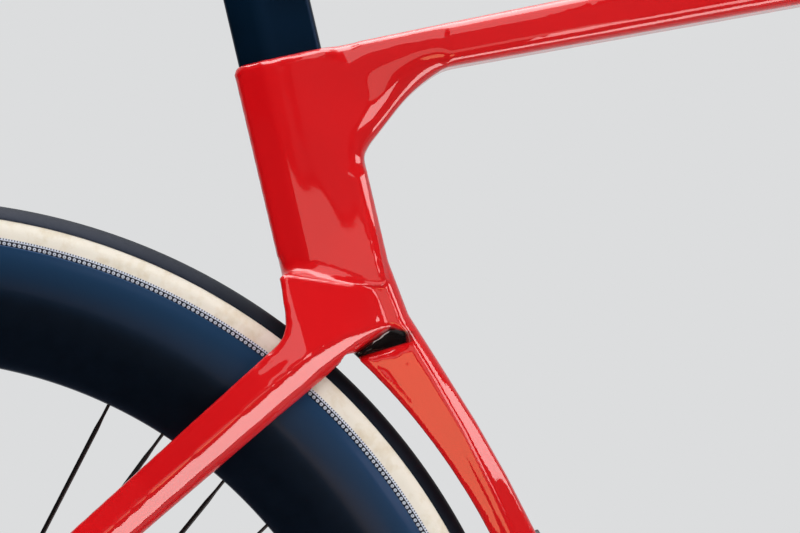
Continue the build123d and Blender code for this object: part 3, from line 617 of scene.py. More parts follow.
def softenNode(name, material):
    # a carried-over node keeps its form and gets its edges rolled
    target = nodes[name]
    for slot in target.material_slots:
        slot.material = material
    weld = target.modifiers.new("weld", "WELD")
    weld.merge_threshold = edgeRoll["weldGap"]
    roll = target.modifiers.new("roll", "BEVEL")
    roll.width = edgeRoll["widthMm"] * mm
    roll.segments = edgeRoll["segments"]
    roll.limit_method = "ANGLE"
    roll.angle_limit = radians(edgeRoll["sharpDegrees"])
    roll.harden_normals = True


# Painted frame: the solids are fused, evened out and relaxed into one moulded skin

frameSkin = {
    "rearVoxelMm": 1.42,
    "rearRounds": 60,
    "frontVoxelMm": 2.1,
    "frontRounds": 16,
    "pull": 0.5,  # share of the way to the neighbours' mean, and back
    "push": -0.525,
    "splitX": 0.125,  # plane across the top tube where the two skins meet
    "splitAbove": 0.33,  # height that only the top tube reaches there
    "rear": (
        "seat_cluster lower_seat_tube top_tube seatstay_left seatstay_right "
        "dropout_left dropout_right"
    ),
    "front": "top_tube head_tube down_tube bottom_bracket_shell chainstay_left chainstay_right",
}
# ledge where the flank turns out to the stay root: height of its outer corner and of the
# blend above it, both over x, in millimetres
ledge = {
    "foot": ((-178.0, 354.6), (-158.0, 352.0), (-143.0, 348.0), (-135.0, 345.6)),
    "rise": ((-178.0, 9.0), (-158.0, 6.5), (-143.0, 4.5), (-135.0, 3.0)),
    "lip": ((-178.0, 20.0), (-158.0, 17.2), (-143.0, 15.8), (-135.0, 15.4)),
    "drop": 1.5,
    "beyond": 2.0,
    "from": -186.0,
    "to": -136.0,
    "rounds": 60,
}
# area of the web and the tubes' sides round it in x and z, millimetres, clockwise as seen
# from the drive side
web = {
    "corners": [
        (-153.5, 468.3),
        (-81.5, 477.4),
        (-81.6, 461.2),
        (-132.9, 402.9),
        (-147.6, 402.9),
    ],
    "beyond": 6.0,  # distance from the middle plane where it starts
    "sideBlend": 3.0,
    "blend": 5.0,
    "rounds": 150,
}
brim = {"above": 3.6, "ahead": -131.0, "rounds": 24}
post = {
    "lean": 9.2,  # degrees from upright
    "footAngle": 51.54,  # where the seat tube's rear line starts, seen from the axle
    "footRadius": 354.1,
    "topSlope": 7.45,
    "clusterHeight": 117.6,
    "insert": 94.0,
    "socketDepth": 118.0,
    "socketGap": 0.25,
    "wedgeGap": 0.2,
    "fillerGrow": 0.6,
    "fillerUnder": 2,
    "over": 30,
    "aft": 3.15,
    "depth": 44.6,
    "halfWidth": 10.0,
    "endShare": 0.5,  # width at nose and front, and place of the widest point
    "widestAt": 0.4,
    "radii": (3, 26, 4),  # nose, flank, front
    "cap": 0.6,  # height of the softened top edge, and its taper per millimetre
    "capTaper": 0.08,
    "top": 672.0,
}
footTurn = radians(post["footAngle"])
seatRear = axle + Vector((cos(footTurn), 0, sin(footTurn))) * post["footRadius"] * mm
seatFore = Vector((cos(radians(post["lean"])), 0, sin(radians(post["lean"]))))
seatUp = Vector((-seatFore.z, 0, seatFore.x))
topCorner = seatRear + seatUp * post["clusterHeight"] * mm
topUp = Vector((-sin(radians(post["topSlope"])), 0, cos(radians(post["topSlope"]))))


def roundedOutline(corners, steps=8):
    # closed outline whose (x, y, radius) corners are turned into arcs
    result = []
    count = len(corners)
    for index, (x, y, radius) in enumerate(corners):
        here = Vector((x, y))
        back = (Vector(corners[index - 1][:2]) - here).normalized()
        ahead = (Vector(corners[(index + 1) % count][:2]) - here).normalized()
        half = acos(max(-1.0, min(1.0, back.dot(ahead)))) / 2
        middle = here + (back + ahead).normalized() * (radius / sin(half))
        first = here + back * (radius / tan(half)) - middle
        last = here + ahead * (radius / tan(half)) - middle
        start, sweep = atan2(first.y, first.x), first.angle_signed(last)
        for step in range(steps + 1):
            turn = start - sweep * step / steps
            result.append((middle.x + radius * cos(turn), middle.y + radius * sin(turn)))
    return result


def postOutline(grow):
    # section across the post: blunt nose behind, widest two fifths of the way, narrower front
    aft, fore = post["aft"] - grow, post["aft"] + post["depth"] + grow
    half, share = post["halfWidth"] + grow, post["endShare"]
    nose, flank, front = post["radii"]
    left = (
        (aft, half * share, nose + grow),
        (aft + (fore - aft) * post["widestAt"], half, flank + grow),
        (fore, half * share, front + grow),
    )
    right = tuple((x, -y, radius) for x, y, radius in reversed(left))
    return roundedOutline(left + right)


def postBlock(name, grow, low, high, cap=0.0):
    # post section carried from one rise along the seat tube to another, millimetres
    outline = postOutline(grow)
    count = len(outline)
    centre = sum(x for x, y in outline) / count
    rings = [(low, 1.0), (high, 1.0)]
    if cap:
        rings = [(low, 1.0), (high - cap, 1.0), (high, 1.0 - cap * post["capTaper"])]
    points = []
    for rise, share in rings:
        for x, y in outline:
            x = centre + (x - centre) * share
            side = Vector((0, y * share * mm, 0))
            points.append(seatRear + seatFore * x * mm + seatUp * rise * mm + side)
    return meshOf(name, points, ringFaces(0, len(rings), count))


def cutAt(mesh, point, normal, above=-1.0):
    # drops what lies beyond a plane, above a given height, and closes the cut flat
    build = bmesh.new()
    build.from_mesh(mesh)
    faces = [face for face in build.faces if min(vert.co.z for vert in face.verts) > above]
    edges = {edge for face in faces for edge in face.edges}
    verts = {vert for face in faces for vert in face.verts}
    part = [*verts, *edges, *faces]
    cut = bmesh.ops.bisect_plane(
        build, geom=part, plane_co=point, plane_no=normal, clear_outer=True
    )
    rim = [edge for edge in cut["geom_cut"] if isinstance(edge, bmesh.types.BMEdge)]
    bmesh.ops.edgeloop_fill(build, edges=rim)
    build.to_mesh(mesh)
    build.free()


def evened(mesh, voxelMm):
    # closed outer surface on an even grid of quads
    carrier = addObject("carrier", mesh)
    even = carrier.modifiers.new("even", "REMESH")
    even.mode = "VOXEL"
    even.voxel_size = voxelMm * mm
    result = finishedMesh(carrier)
    bpy.data.objects.remove(carrier)
    bpy.data.meshes.remove(mesh)
    return result


def relax(mesh, rounds, chosen=None):
    # Smooths without shrinking: a pull towards the neighbours, then a slightly larger push back.
    # Where points are chosen, only they move and there is no push back.
    count = len(mesh.vertices)
    points = np.empty(count * 3)
    mesh.vertices.foreach_get("co", points)
    points = points.reshape(-1, 3)
    ends = np.empty(len(mesh.edges) * 2, dtype=np.int64)
    mesh.edges.foreach_get("vertices", ends)
    first, second = ends.reshape(-1, 2).T
    valence = np.bincount(first, minlength=count) + np.bincount(second, minlength=count)
    valence = np.maximum(valence, 1)
    free = np.ones((count, 1)) if chosen is None else chosen(points)[:, None]
    weights = (frameSkin["pull"], frameSkin["push"]) if chosen is None else (frameSkin["pull"],)
    for _ in range(rounds):
        for weight in weights:
            mean = np.empty_like(points)
            for way in range(3):
                total = np.bincount(first, points[second, way], count)
                mean[:, way] = (total + np.bincount(second, points[first, way], count)) / valence
            points = points + weight * free * (mean - points)
    mesh.vertices.foreach_set("co", points.ravel())
    mesh.update()


def nearLedge(points):
    # share by which a point belongs to the blend above the ledge, highest at the rear
    x, y, z = (points / mm).T
    low = np.interp(x, *zip(*ledge["foot"]))
    high = low + np.interp(x, *zip(*ledge["rise"]))
    lip = np.interp(x, *zip(*ledge["lip"]))
    inside = (z > low - ledge["drop"]) & (z < high) & (abs(y) > ledge["beyond"]) & (abs(y) < lip)
    return (inside & (x > ledge["from"]) & (x < ledge["to"])).astype(float)


def nearBrim(points):
    # the cluster's upper edge round the post
    rise = (points - np.array(topCorner)) @ np.array(topUp) / mm
    return ((rise > -brim["above"]) & (points[:, 0] / mm < brim["ahead"])).astype(float)


def overWeb(points):
    # share by which a point belongs to the smooth turn from the seat tube into the top tube
    x, y, z = (points / mm).T
    share = np.clip((abs(y) - web["beyond"]) / web["sideBlend"], 0, 1)
    corners = web["corners"]
    for (x0, z0), (x1, z1) in zip(corners, corners[1:] + corners[:1]):
        # distance inside the line from one corner to the next
        inward = ((x1 - x0) * (z0 - z) - (z1 - z0) * (x0 - x)) / hypot(x1 - x0, z1 - z0)
        share *= np.clip(inward / web["blend"], 0, 1)
    return share


def fusedSkin(name, names, fillers, voxelMm, rounds):
    # one smooth closed mesh round several nodes and the fillers of their hollows
    build = bmesh.new()
    for node in names.split():
        build.from_mesh(nodes[node].data)
    for filler in fillers:
        build.from_mesh(filler)
        bpy.data.meshes.remove(filler)
    mesh = bpy.data.meshes.new(name)
    build.to_mesh(mesh)
    build.free()
    mesh = evened(mesh, voxelMm)
    mesh.name = name
    relax(mesh, rounds)
    mesh.polygons.foreach_set("use_smooth", [True] * len(mesh.polygons))
    mesh.update()
    return mesh


def hollowOut(piece, *cutters):
    # takes the cutters' volumes out of a piece for good
    for mesh in cutters:
        tool = addObject("tool", mesh)
        cut = piece.modifiers.new("cut", "BOOLEAN")
        cut.operation = "DIFFERENCE"
        cut.solver = "EXACT"
        cut.object = tool
        bpy.context.view_layer.update()
        result = finishedMesh(piece)
        piece.modifiers.clear()
        bpy.data.objects.remove(tool)
        bpy.data.meshes.remove(mesh)
        piece.data = result


def grownCopy(node, growMm):
    # closed copy of a carried-over node with its faces moved outwards, for the pocket it sits in
    build = bmesh.new()
    build.from_mesh(nodes[node].data)
    bmesh.ops.remove_doubles(build, verts=build.verts, dist=edgeRoll["weldGap"])
    bmesh.ops.recalc_face_normals(build, faces=build.faces)
    build.normal_update()
    moves = [(vert, vert.normal * vert.calc_shell_factor() * growMm * mm) for vert in build.verts]
    for vert, move in moves:
        vert.co += move
    mesh = bpy.data.meshes.new(node + "Pocket")
    build.to_mesh(mesh)
    build.free()
    return mesh


socketFloor = post["clusterHeight"] - post["socketDepth"]
overBrim = post["clusterHeight"] + post["over"]
splitPoint = Vector((frameSkin["splitX"], 0, 0))


def makeRearFrame():
    # the socket and the wedge's place are filled for the fusing, then hollowed out sharply
    filler = postBlock("filler", post["fillerGrow"], socketFloor - post["fillerUnder"], overBrim)
    cutAt(filler, topCorner, topUp)
    wedge = nodes["post_wedge"].data.copy()
    voxelMm, rounds = frameSkin["rearVoxelMm"], frameSkin["rearRounds"]
    mesh = fusedSkin("frameRear", frameSkin["rear"], [filler, wedge], voxelMm, rounds)
    relax(mesh, ledge["rounds"], nearLedge)
    relax(mesh, web["rounds"], overWeb)
    relax(mesh, brim["rounds"], nearBrim)
    cutAt(mesh, splitPoint, Vector((1, 0, 0)))
    # the top tube is in both skins, and the front one stands for it
    solids = [name for name in frameSkin["rear"].split() if name != "top_tube"]
    piece = addPiece("frameRear", mesh, [paint], "frame", "red_paint", *solids)
    socket = postBlock("socket", post["socketGap"], socketFloor, overBrim)
    hollowOut(piece, socket, grownCopy("post_wedge", post["wedgeGap"]))


def makeFrontFrame():
    voxelMm, rounds = frameSkin["frontVoxelMm"], frameSkin["frontRounds"]
    mesh = fusedSkin("frameFront", frameSkin["front"], [], voxelMm, rounds)
    cutAt(mesh, splitPoint, Vector((-1, 0, 0)), above=frameSkin["splitAbove"])
    solids = frameSkin["front"].split()
    addPiece("frameFront", mesh, [paint], "frame", "red_paint", *solids)


def makePost():
    low = post["clusterHeight"] - post["insert"]
    high = (post["top"] * mm - seatRear.z) / seatUp.z / mm
    mesh = postBlock("seatpostBlade", 0.0, low, high, cap=post["cap"])
    addPiece("seatpostBlade", mesh, [navy], "seatpost", "navy_paint", "seatpost")


print("stage: painted frame")
makeRearFrame()
makeFrontFrame()
makePost()


# Tyre and rim


tyre = {
    "halfWidth": 13.0,
    "segments": 360,
    "treadFrom": 13.18,  # height above the rim's edge over which faces are black tread
    "bead": (-3, 0.6),
    # (height above the rim's edge, share of the half width)
    "wall": ((0.0, 0.86), (2.0, 0.93), (4.0, 0.975), (8.5, 1.0), (13.1, 0.872)),
    "tread": ((13.2, 0.9), (14.2, 0.85), (16.0, 0.7), (17.9, 0.48), (19.2, 0.26), (19.87, 0.0)),
}


def makeTyre():
    half = tyre["halfWidth"]
    edge = rimEdge / mm
    side = catmull([(edge + h, share * half) for h, share in tyre["wall"]], 4)
    side += catmull([(edge + h, share * half) for h, share in tyre["tread"]], 4)
    outline = side + [(r, -y) for r, y in reversed(side[:-1])]
    depth, share = tyre["bead"]
    outline += [(edge + depth, -half * share), (edge + depth, half * share)]
    border = edge + tyre["treadFrom"]

    def slotOf(a, b):
        return 1 if max(a[0], b[0]) > border else 0

    mesh = latheMesh(
        "tyreSkin", outline, tyre["segments"], wheelFrame, slotOf=slotOf, sharpDegrees=30
    )
    addPiece("tyreSkin", mesh, [cloth, rubber], "wheel", "tyre", "tyre")


rim = {
    "halfWidth": 14.0,
    "segments": 360,
    # (height above the rim's edge, share of the half width)
    "nose": ((-65.0, 0.0), (-64.7, 0.1), (-63.5, 0.22), (-59.0, 0.37), (-50.0, 0.575)),
    "flank": ((-39.0, 0.8), (-26.0, 0.965), (-18.0, 1.0), (-7.0, 0.97)),
    "hook": ((-1.2, 0.9), (-0.3, 0.885), (0.0, 0.865)),
    "bed": ((-6, 0.64), (-12, 0.28)),
}


def makeRim():
    half = rim["halfWidth"]
    edge = rimEdge / mm
    line = rim["nose"] + rim["flank"] + rim["hook"]
    side = catmull([(edge + h, share * half) for h, share in line], 4)
    side += [(edge + h, share * half) for h, share in rim["bed"]]
    outline = side + [(r, -y) for r, y in reversed(side[1:])]
    mesh = latheMesh("rimSkin", outline, rim["segments"], wheelFrame, sharpDegrees=40)
    addPiece("rimSkin", mesh, [carbon], "wheel", "rim_carbon", "rim")


spokes = {
    "perSide": 12,
    "blade": (2.6, 0.95),  # width and thickness, millimetres
    "round": 1.8,
    "lean": 0.64,  # angle between hub and rim ends, radians
    "rightFlange": (-20.0, 23.0),  # y and radius of the holes
    "leftFlange": (36.0, 20.0),
    "flangeOffset": 1.1,
    "leftStart": 0.13,
    "bed": 254.0,
    "bedOffset": 1.5,
    "sides": 12,
}


def makeSpokes():
    # bladed steel spokes: round at both ends, flattened in between
    points, faces = [], []
    sides = spokes["sides"]
    wide, thin = spokes["blade"]
    plain = spokes["round"]
    stations = (
        (0.0, plain, plain),
        (0.06, plain, plain),
        (0.1, wide, thin),
        (0.93, wide, thin),
        (0.96, plain, plain),
        (1.0, plain, plain),
    )
    for y, radius in (spokes["rightFlange"], spokes["leftFlange"]):
        for index in range(spokes["perSide"]):
            pair = -1 if index % 2 else 1
            turn = 2 * pi * index / spokes["perSide"] + (spokes["leftStart"] if y > 0 else 0)
            rootY = y + pair * spokes["flangeOffset"]
            tipY = spokes["bedOffset"] if y > 0 else -spokes["bedOffset"]
            root = Vector((radius * cos(turn), rootY, radius * sin(turn)))
            far = turn + pair * spokes["lean"]
            tip = Vector((spokes["bed"] * cos(far), tipY, spokes["bed"] * sin(far)))
            run = tip - root
            across = run.cross(Vector((0, 1, 0))).normalized()
            out = run.cross(across).normalized()
            first = len(points)
            for share, width, depth in stations:
                for i in range(sides):
                    angle = 2 * pi * i / sides
                    spot = root + run * share + across * (width / 2 * cos(angle))
                    spot += out * (depth / 2 * sin(angle))
                    points.append(axle + spot * mm)
            faces += ringFaces(first, len(stations), sides)
    mesh = meshOf("bladedSpokes", points, faces, sharpDegrees=50)
    addPiece("bladedSpokes", mesh, [black], "wheel", "black_metal", "spokes")


print("stage: wheel")
makeTyre()
makeRim()
makeSpokes()


hub = {
    "segments": 96,
    # (radius, y) from the drive side to the disc side
    "shell": (
        (8.6, -28.0), (15.0, -28.0), (16.0, -26.8), (16.0, -23.2), (18.2, -22.4), (22.4, -21.6),
        (23.0, -21.0), (23.0, -19.0), (22.4, -18.4), (19.0, -17.6), (15.6, -15.2), (13.2, -12.4),
        (12.2, -9.0), (12.0, -5.0), (12.0, 6.0), (11.4, 6.4), (11.4, 8.4), (12.0, 8.8),
        (12.0, 24.0), (12.4, 27.0), (14.2, 30.4), (17.0, 33.2), (19.4, 34.2), (20.0, 34.8),
        (20.0, 37.2), (19.4, 37.8), (17.8, 39.6), (17.0, 42.0), (17.0, 64.0), (8.6, 64.0),
    ),
}


def makeHub():
    mesh = latheMesh("hubBarrel", hub["shell"], hub["segments"], wheelFrame, sharpDegrees=28)
    addPiece("hubBarrel", mesh, [black], "wheel", "black_metal", "hub_shell")


rotor = {
    "y": (54.8, 56.6),
    "outer": 70.0,
    "inner": 55.0,
    "rows": ((58.6, 1.6, 0.0), (62.5, 2.1, 0.5), (66.6, 1.6, 0.0)),  # radius, hole, shift
    "rowCount": 30,
    "arms": 6,
    "armPlace": (39.0, 8.0),
    "armRake": 20.0,
    # half outline of a curved arm, wider at both ends
    "arm": ((-19.5, 4.6), (-8, 2.9), (6, 2.6), (19.5, 4.2)),
    "armInset": 0.1,
    "carrierOuter": 24.0,
    "carrierInner": 17.0,
    "rivets": (21.0, 1.3, 12),  # radius, hole, count
    "edge": 0.1,
    "bandSteps": (180, 150),  # points round each circle
    "carrierSteps": 72,
    "holeSteps": 12,
}


def makeRotor():
    low, high = rotor["y"]
    edge, inset = rotor["edge"], rotor["armInset"]
    outerSteps, innerSteps = rotor["bandSteps"]
    band = [circlePoints(rotor["outer"], outerSteps), circlePoints(rotor["inner"], innerSteps)]
    for radius, hole, shift in rotor["rows"]:
        for index in range(rotor["rowCount"]):
            turn = 2 * pi * (index + shift) / rotor["rowCount"]
            spot = (radius * cos(turn), radius * sin(turn))
            band.append(circlePoints(hole, rotor["holeSteps"], spot))
    meshes = [plateMesh("band", band, low, high, wheelFrame, edge)]
    sizes = (rotor["carrierOuter"], rotor["carrierInner"])
    carrier = [circlePoints(size, rotor["carrierSteps"]) for size in sizes]
    radius, hole, count = rotor["rivets"]
    spots = circlePoints(radius, count)
    carrier += [circlePoints(hole, rotor["holeSteps"], spot) for spot in spots]
    meshes.append(plateMesh("carrier", carrier, low, high, wheelFrame, edge))
    rake = radians(rotor["armRake"])
    profile = [(u, -v) for u, v in rotor["arm"]] + list(reversed(rotor["arm"]))
    for index in range(rotor["arms"]):
        turn = 2 * pi * index / rotor["arms"]
        x, y = rotor["armPlace"]
        outline = []
        for u, v in profile:
            px = x + u * cos(rake) - v * sin(rake)
            py = y + u * sin(rake) + v * cos(rake)
            outline.append((px * cos(turn) + py * sin(turn), py * cos(turn) - px * sin(turn)))
        meshes.append(plateMesh("arm", [outline], low + inset, high - inset, wheelFrame, edge))
    disc = joinMeshes("brakeRotorDisc", meshes)
    addPiece("brakeRotorDisc", disc, [steel], "wheel", "steel", "brake_rotor")


print("stage: hub and brake rotor")
makeHub()
makeRotor()


gears = {
    "teeth": (11, 12, 13, 14, 15, 17, 19, 21, 23, 25, 28),
    "firstY": -65.0,
    "pitchY": 3.6,
    "thick": 1.6,
    "chainPitch": 12.7,
    "roller": 3.9,
    "tip": 2.4,
    "tipShares": (-0.1, 0.0, 0.1),  # of a tooth's step, over its tip
    "seatSwings": (-62, -38, -12, 12, 38, 62),  # degrees round a roller's seat
    "bore": 18.6,
    "holesFrom": 32,  # root radius above which a plate has lightening holes
    "land": 3,
    "leastRing": 2,  # width that a small plate keeps round its bore
    "fewestHoles": 6,
    "boreSteps": 60,  # points round each circle
    "holeSteps": 20,
    "holeInset": 0.6,
    "web": 5,
    "edge": 0.2,
    "spacer": (17.2, 20.0),
}


def sprocketOutline(teeth):
    # roller seats between narrow tooth tips; angles run from forward to up, as the solids do
    pitch = gears["chainPitch"] / (2 * sin(pi / teeth))
    tip, roller = pitch + gears["tip"], gears["roller"]
    step = 2 * pi / teeth
    outline = []
    for index in range(teeth):
        for share in gears["tipShares"]:
            turn = (index + share) * step
            outline.append((tip * cos(turn), tip * sin(turn)))
        middle = (index + 0.5) * step
        seatX, seatY = pitch * cos(middle), pitch * sin(middle)
        for swing in gears["seatSwings"]:
            turn = middle + pi - radians(swing)
            outline.append((seatX + roller * cos(turn), seatY + roller * sin(turn)))
    return [(x, -y) for x, y in outline], pitch - roller


def makeGears():
    plates, spacers = [], []
    half = gears["thick"] / 2
    bore, land, steps = gears["bore"], gears["land"], gears["boreSteps"]
    inner, outer = gears["spacer"]
    for index, teeth in enumerate(gears["teeth"]):
        y = gears["firstY"] + index * gears["pitchY"]
        outline, root = sprocketOutline(teeth)
        outlines = [outline, circlePoints(min(bore, root - gears["leastRing"]), steps)]
        if root > gears["holesFrom"]:
            # lightening holes between the arms of the larger plates
            middle = (bore + land + root) / 2
            hole = (root - bore - 2 * land) / 2 - gears["holeInset"]
            fit = int(2 * pi * middle / (2 * hole + gears["web"]))
            spots = circlePoints(middle, max(gears["fewestHoles"], fit))
            outlines += [circlePoints(hole, gears["holeSteps"], spot) for spot in spots]
        plates.append(plateMesh("plate", outlines, y - half, y + half, wheelFrame, gears["edge"]))
        if index + 1 < len(gears["teeth"]):
            low, high = y + half, y + gears["pitchY"] - half
            ring = ((inner, low), (outer, low), (outer, high), (inner, high))
            spacers.append(latheMesh("spacer", ring, steps, wheelFrame))
    stack = joinMeshes("cassetteSprockets", plates)
    addPiece("cassetteSprockets", stack, [steel], "sprockets", "steel", "cassette")
    rings = joinMeshes("cassetteSpacers", spacers)
    addPiece("cassetteSpacers", rings, [black], "sprockets", "black_metal")


print("stage: sprockets")
makeGears()


# Small turned and fitted parts


# (radius, height from the mouth), millimetres
boss = {
    "segments": 40,
    "mouth": 4.5,
    "flange": ((3.4, -4.0), (5.5, -4.0), (5.5, -1.1), (5.2, -0.6), (4.5, -0.35), (3.4, -0.3)),
    "sleeve": ((2.5, -8.8), (3.4, -8.8), (3.4, -0.15), (3.2, 0.0), (2.75, 0.0), (2.5, -0.25)),
    "places": "seat_upper seat_lower down_lower down_upper",
}


def makeBosses():
    # black sealed flange with a bright threaded aluminium sleeve standing just out of it
    for name in boss["places"].split():
        mount = mounts["bottle_boss_" + name]
        out = Vector(mount["axis"])
        place = axisFrame(Vector(mount["pos_m"]) + out * boss["mouth"] * mm, out)
        label = "bottleBoss" + "".join(word.capitalize() for word in name.split("_"))
        flange = latheMesh(label, boss["flange"], boss["segments"], place)
        addPiece(label, flange, [black], "frame", "black_metal", "bottle_boss_" + name)
        sleeve = latheMesh(label + "Sleeve", boss["sleeve"], boss["segments"], place)
        addPiece(label + "Sleeve", sleeve, [alloy], "frame", "alloy")


# (radius, height along the stem), millimetres
valve = {
    "segments": 32,
    "angle": 200.0,
    "reach": 226.0,
    "tip": ((0, -8.0), (1.1, -8.0), (1.5, -7.6), (1.5, -5.0), (1.1, -4.7)),
    "neck": ((1.1, -2.4), (2.0, -2.2), (2.0, -0.2), (2.6, 0.0)),
    "crest": 3.0,
    "root": 2.7,
    "threadFrom": 0.3,
    "threadTo": 27.0,
    "threadPitch": 0.7,
    "end": 35.0,
}


def makeValve():
    # threaded aluminium stem with a knurled tip
    turn = radians(valve["angle"])
    outward = Vector((cos(turn), 0, sin(turn)))
    place = axisFrame(axle + outward * valve["reach"] * mm, outward)
    outline = [*valve["tip"], *valve["neck"]]
    height = valve["threadFrom"]
    while height < valve["threadTo"]:
        outline += [(valve["crest"], height), (valve["root"], height + valve["threadPitch"] / 2)]
        height += valve["threadPitch"]
    outline += [(valve["crest"], height), (valve["crest"], valve["end"]), (0, valve["end"])]
    mesh = latheMesh("valveStem", outline, valve["segments"], place, closed=False)
    addPiece("valveStem", mesh, [alloy], "wheel", "alloy", "valve")


caliperBolts = {
    "segments": 36,
    "angle": 26.0,  # caliper's place round the axle
    "radius": 62,
    # name, place along and out from the middle, size
    "places": (
        ("caliperBoltUpper", 21, 3, 1.0),
        ("caliperBoltLower", -21, 3, 1.0),
        ("padPin", 0, 6, 0.55),
    ),
    # bolt head with a drilled socket: (radius, height), millimetres
    "socket": ((0, 0.8), (2.0, 0.8), (2.0, 2.35), (2.25, 2.6)),
    "head": ((3.5, 2.6), (4.05, 2.25), (4.2, 1.6), (4.2, -0.8), (0, -0.8)),
}


def makeCaliperBolts():
    low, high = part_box("brake_caliper")
    turn = radians(caliperBolts["angle"])
    out = Vector((cos(turn), 0, sin(turn)))
    along = Vector((-sin(turn), 0, cos(turn)))
    middle = axle + out * caliperBolts["radius"] * mm
    profile = caliperBolts["socket"] + caliperBolts["head"]
    for name, shift, lift, size in caliperBolts["places"]:
        place = middle + along * shift * mm + out * lift * mm
        place.y = high.y
        outline = [(radius * size, height * size) for radius, height in profile]
        stand = axisFrame(place, (0, 1, 0))
        mesh = latheMesh(name, outline, caliperBolts["segments"], stand, closed=False)
        addPiece(name, mesh, [steel], "frame", "steel")


print("stage: fittings")
makeBosses()
makeValve()
makeCaliperBolts()

# CAD nodes that are kept as they are, by finish
carried = {
    "turnedSteel": "cassette_lockring headset_bearing_upper headset_bearing_lower clamp_bolt",
    "blastedAluminium": "derailleur_hanger rail_cradle rail_clamp freehub hub_axle",
    "blackAnodisedAluminium": (
        "brake_caliper rotor_lockring through_axle post_wedge "
        "bracket_bearing_left bracket_bearing_right"
    ),
    "sinteredPadCompound": "brake_pad_outer brake_pad_inner",
}
for look, names in carried.items():
    for name in names.split():
        softenNode(name, finish[look])


# Floor, light and camera

studio = {
    "floor": ("E3E3E1", "E6E6E4"),
    "cloudMm": 500,
    "floorGap": 0.0008,
    "backdrop": "DCDDDE",
    "floorHalf": 40.0,
    "fadeFrom": 0.5,  # metres from the middle where the floor starts to fade to the backdrop
    "fadeTo": 2.4,
    "nearShare": 0.45,
    "ambient": "34363A",
    "frontGlow": "1C1D20",
    "frontFrom": 0.1,  # y where the floor starts to turn dim in gloss
    "frontTo": -0.6,
    "frontShare": 0.95,
    "behindFrom": -0.15,  # sine of the turn from the side where the world turns pale in gloss
    "behindTo": 0.45,
}


def makeFloor():
    # matt pale paper: it keeps the object's shadow near by and fades into the backdrop far off
    half = studio["floorHalf"]
    z = cadBox[0][2] - studio["floorGap"]
    corners = [(-half, -half, z), (half, -half, z), (half, half, z), (-half, half, z)]
    mesh = bpy.data.meshes.new("studioFloor")
    mesh.from_pydata(corners, [], [(0, 1, 2, 3)])
    floor = addObject("studioFloor", mesh)
    material, tree, shader, place = startMaterial(
        "paleStudioFloor", Roughness=0.85, Specular_IOR_Level=0.0
    )
    mesh.materials.append(material)
    cloud = addNode(tree, "TexNoise", {"Vector": place, "Scale": perMetre(studio["cloudMm"])})
    stops = ((0.3, studio["floor"][0]), (0.7, studio["floor"][1]))
    feed(tree, shader, {"Base Color": addNode(tree, "ValToRGB", {"Fac": cloud}, stops)})
    far = addNode(tree, "VectorMath", {0: place}, operation="LENGTH")
    inputs = {
        "Value": far,
        "From Min": studio["fadeFrom"],
        "From Max": studio["fadeTo"],
        "To Min": studio["nearShare"],
    }
    fade = addNode(tree, "MapRange", inputs, interpolation_type="SMOOTHSTEP")
    # 1 for what the eye sees straight, in a mirror or through glass
    rays = addNode(tree, "LightPath").outputs
    seen = rays["Is Camera Ray"]
    for kind in ("Is Glossy Ray", "Is Transmission Ray"):
        seen = addNode(tree, "Math", {0: seen, 1: rays[kind]}, operation="MAXIMUM")
    share = addNode(tree, "Math", {0: fade, 1: seen}, operation="MULTIPLY")
    glow = addNode(tree, "Emission", {"Color": linear(studio["backdrop"]), "Strength": 1.0})
    mixed = addNode(tree, "MixShader", {0: share, 1: shader, 2: glow})
    # in gloss the floor in front of the object stays dim, so that dark red keeps its depth
    apart = addNode(tree, "SeparateXYZ", {0: place}).outputs
    inputs = {
        "Value": apart[1],
        "From Min": studio["frontFrom"],
        "From Max": studio["frontTo"],
        "To Max": studio["frontShare"],
    }
    front = addNode(tree, "MapRange", inputs)
    dimmed = addNode(tree, "Math", {0: front, 1: rays["Is Glossy Ray"]}, operation="MULTIPLY")
    dim = addNode(tree, "Emission", {"Color": linear(studio["frontGlow"]), "Strength": 1.0})
    final = addNode(tree, "MixShader", {0: dimmed, 1: mixed, 2: dim})
    feed(tree, tree.nodes["Material Output"], {"Surface": final})
    floor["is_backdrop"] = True


def makeWorld():
    # pale behind the object, dimmer on the lamps' side so that gloss red keeps its depth
    world = bpy.data.worlds.new("studioRoom")
    bpy.context.scene.world = world
    world.use_nodes = True
    tree = world.node_tree
    tree.nodes.clear()
    place = addNode(tree, "TexCoord").outputs["Generated"]
    parts = addNode(tree, "SeparateXYZ", {0: place}).outputs
    start, end = studio["behindFrom"], studio["behindTo"]
    behind = addNode(tree, "MapRange", {"Value": parts[1], "From Min": start, "From Max": end})
    rays = addNode(tree, "LightPath").outputs
    pale, dim = linear(studio["backdrop"]), linear(studio["frontGlow"])
    mirrored = addNode(tree, "Mix", {0: behind, 6: dim, 7: pale}, data_type="RGBA")
    inputs = {0: rays["Is Glossy Ray"], 6: linear(studio["ambient"]), 7: mirrored}
    lit = addNode(tree, "Mix", inputs, data_type="RGBA")
    inputs = {0: rays["Is Camera Ray"], 1: rays["Is Transmission Ray"]}
    direct = addNode(tree, "Math", inputs, operation="MAXIMUM")
    colour = addNode(tree, "Mix", {0: direct, 6: lit, 7: pale}, data_type="RGBA")
    background = addNode(tree, "Background", {"Color": colour, "Strength": 1.0})
    addNode(tree, "OutputWorld", {"Surface": background})


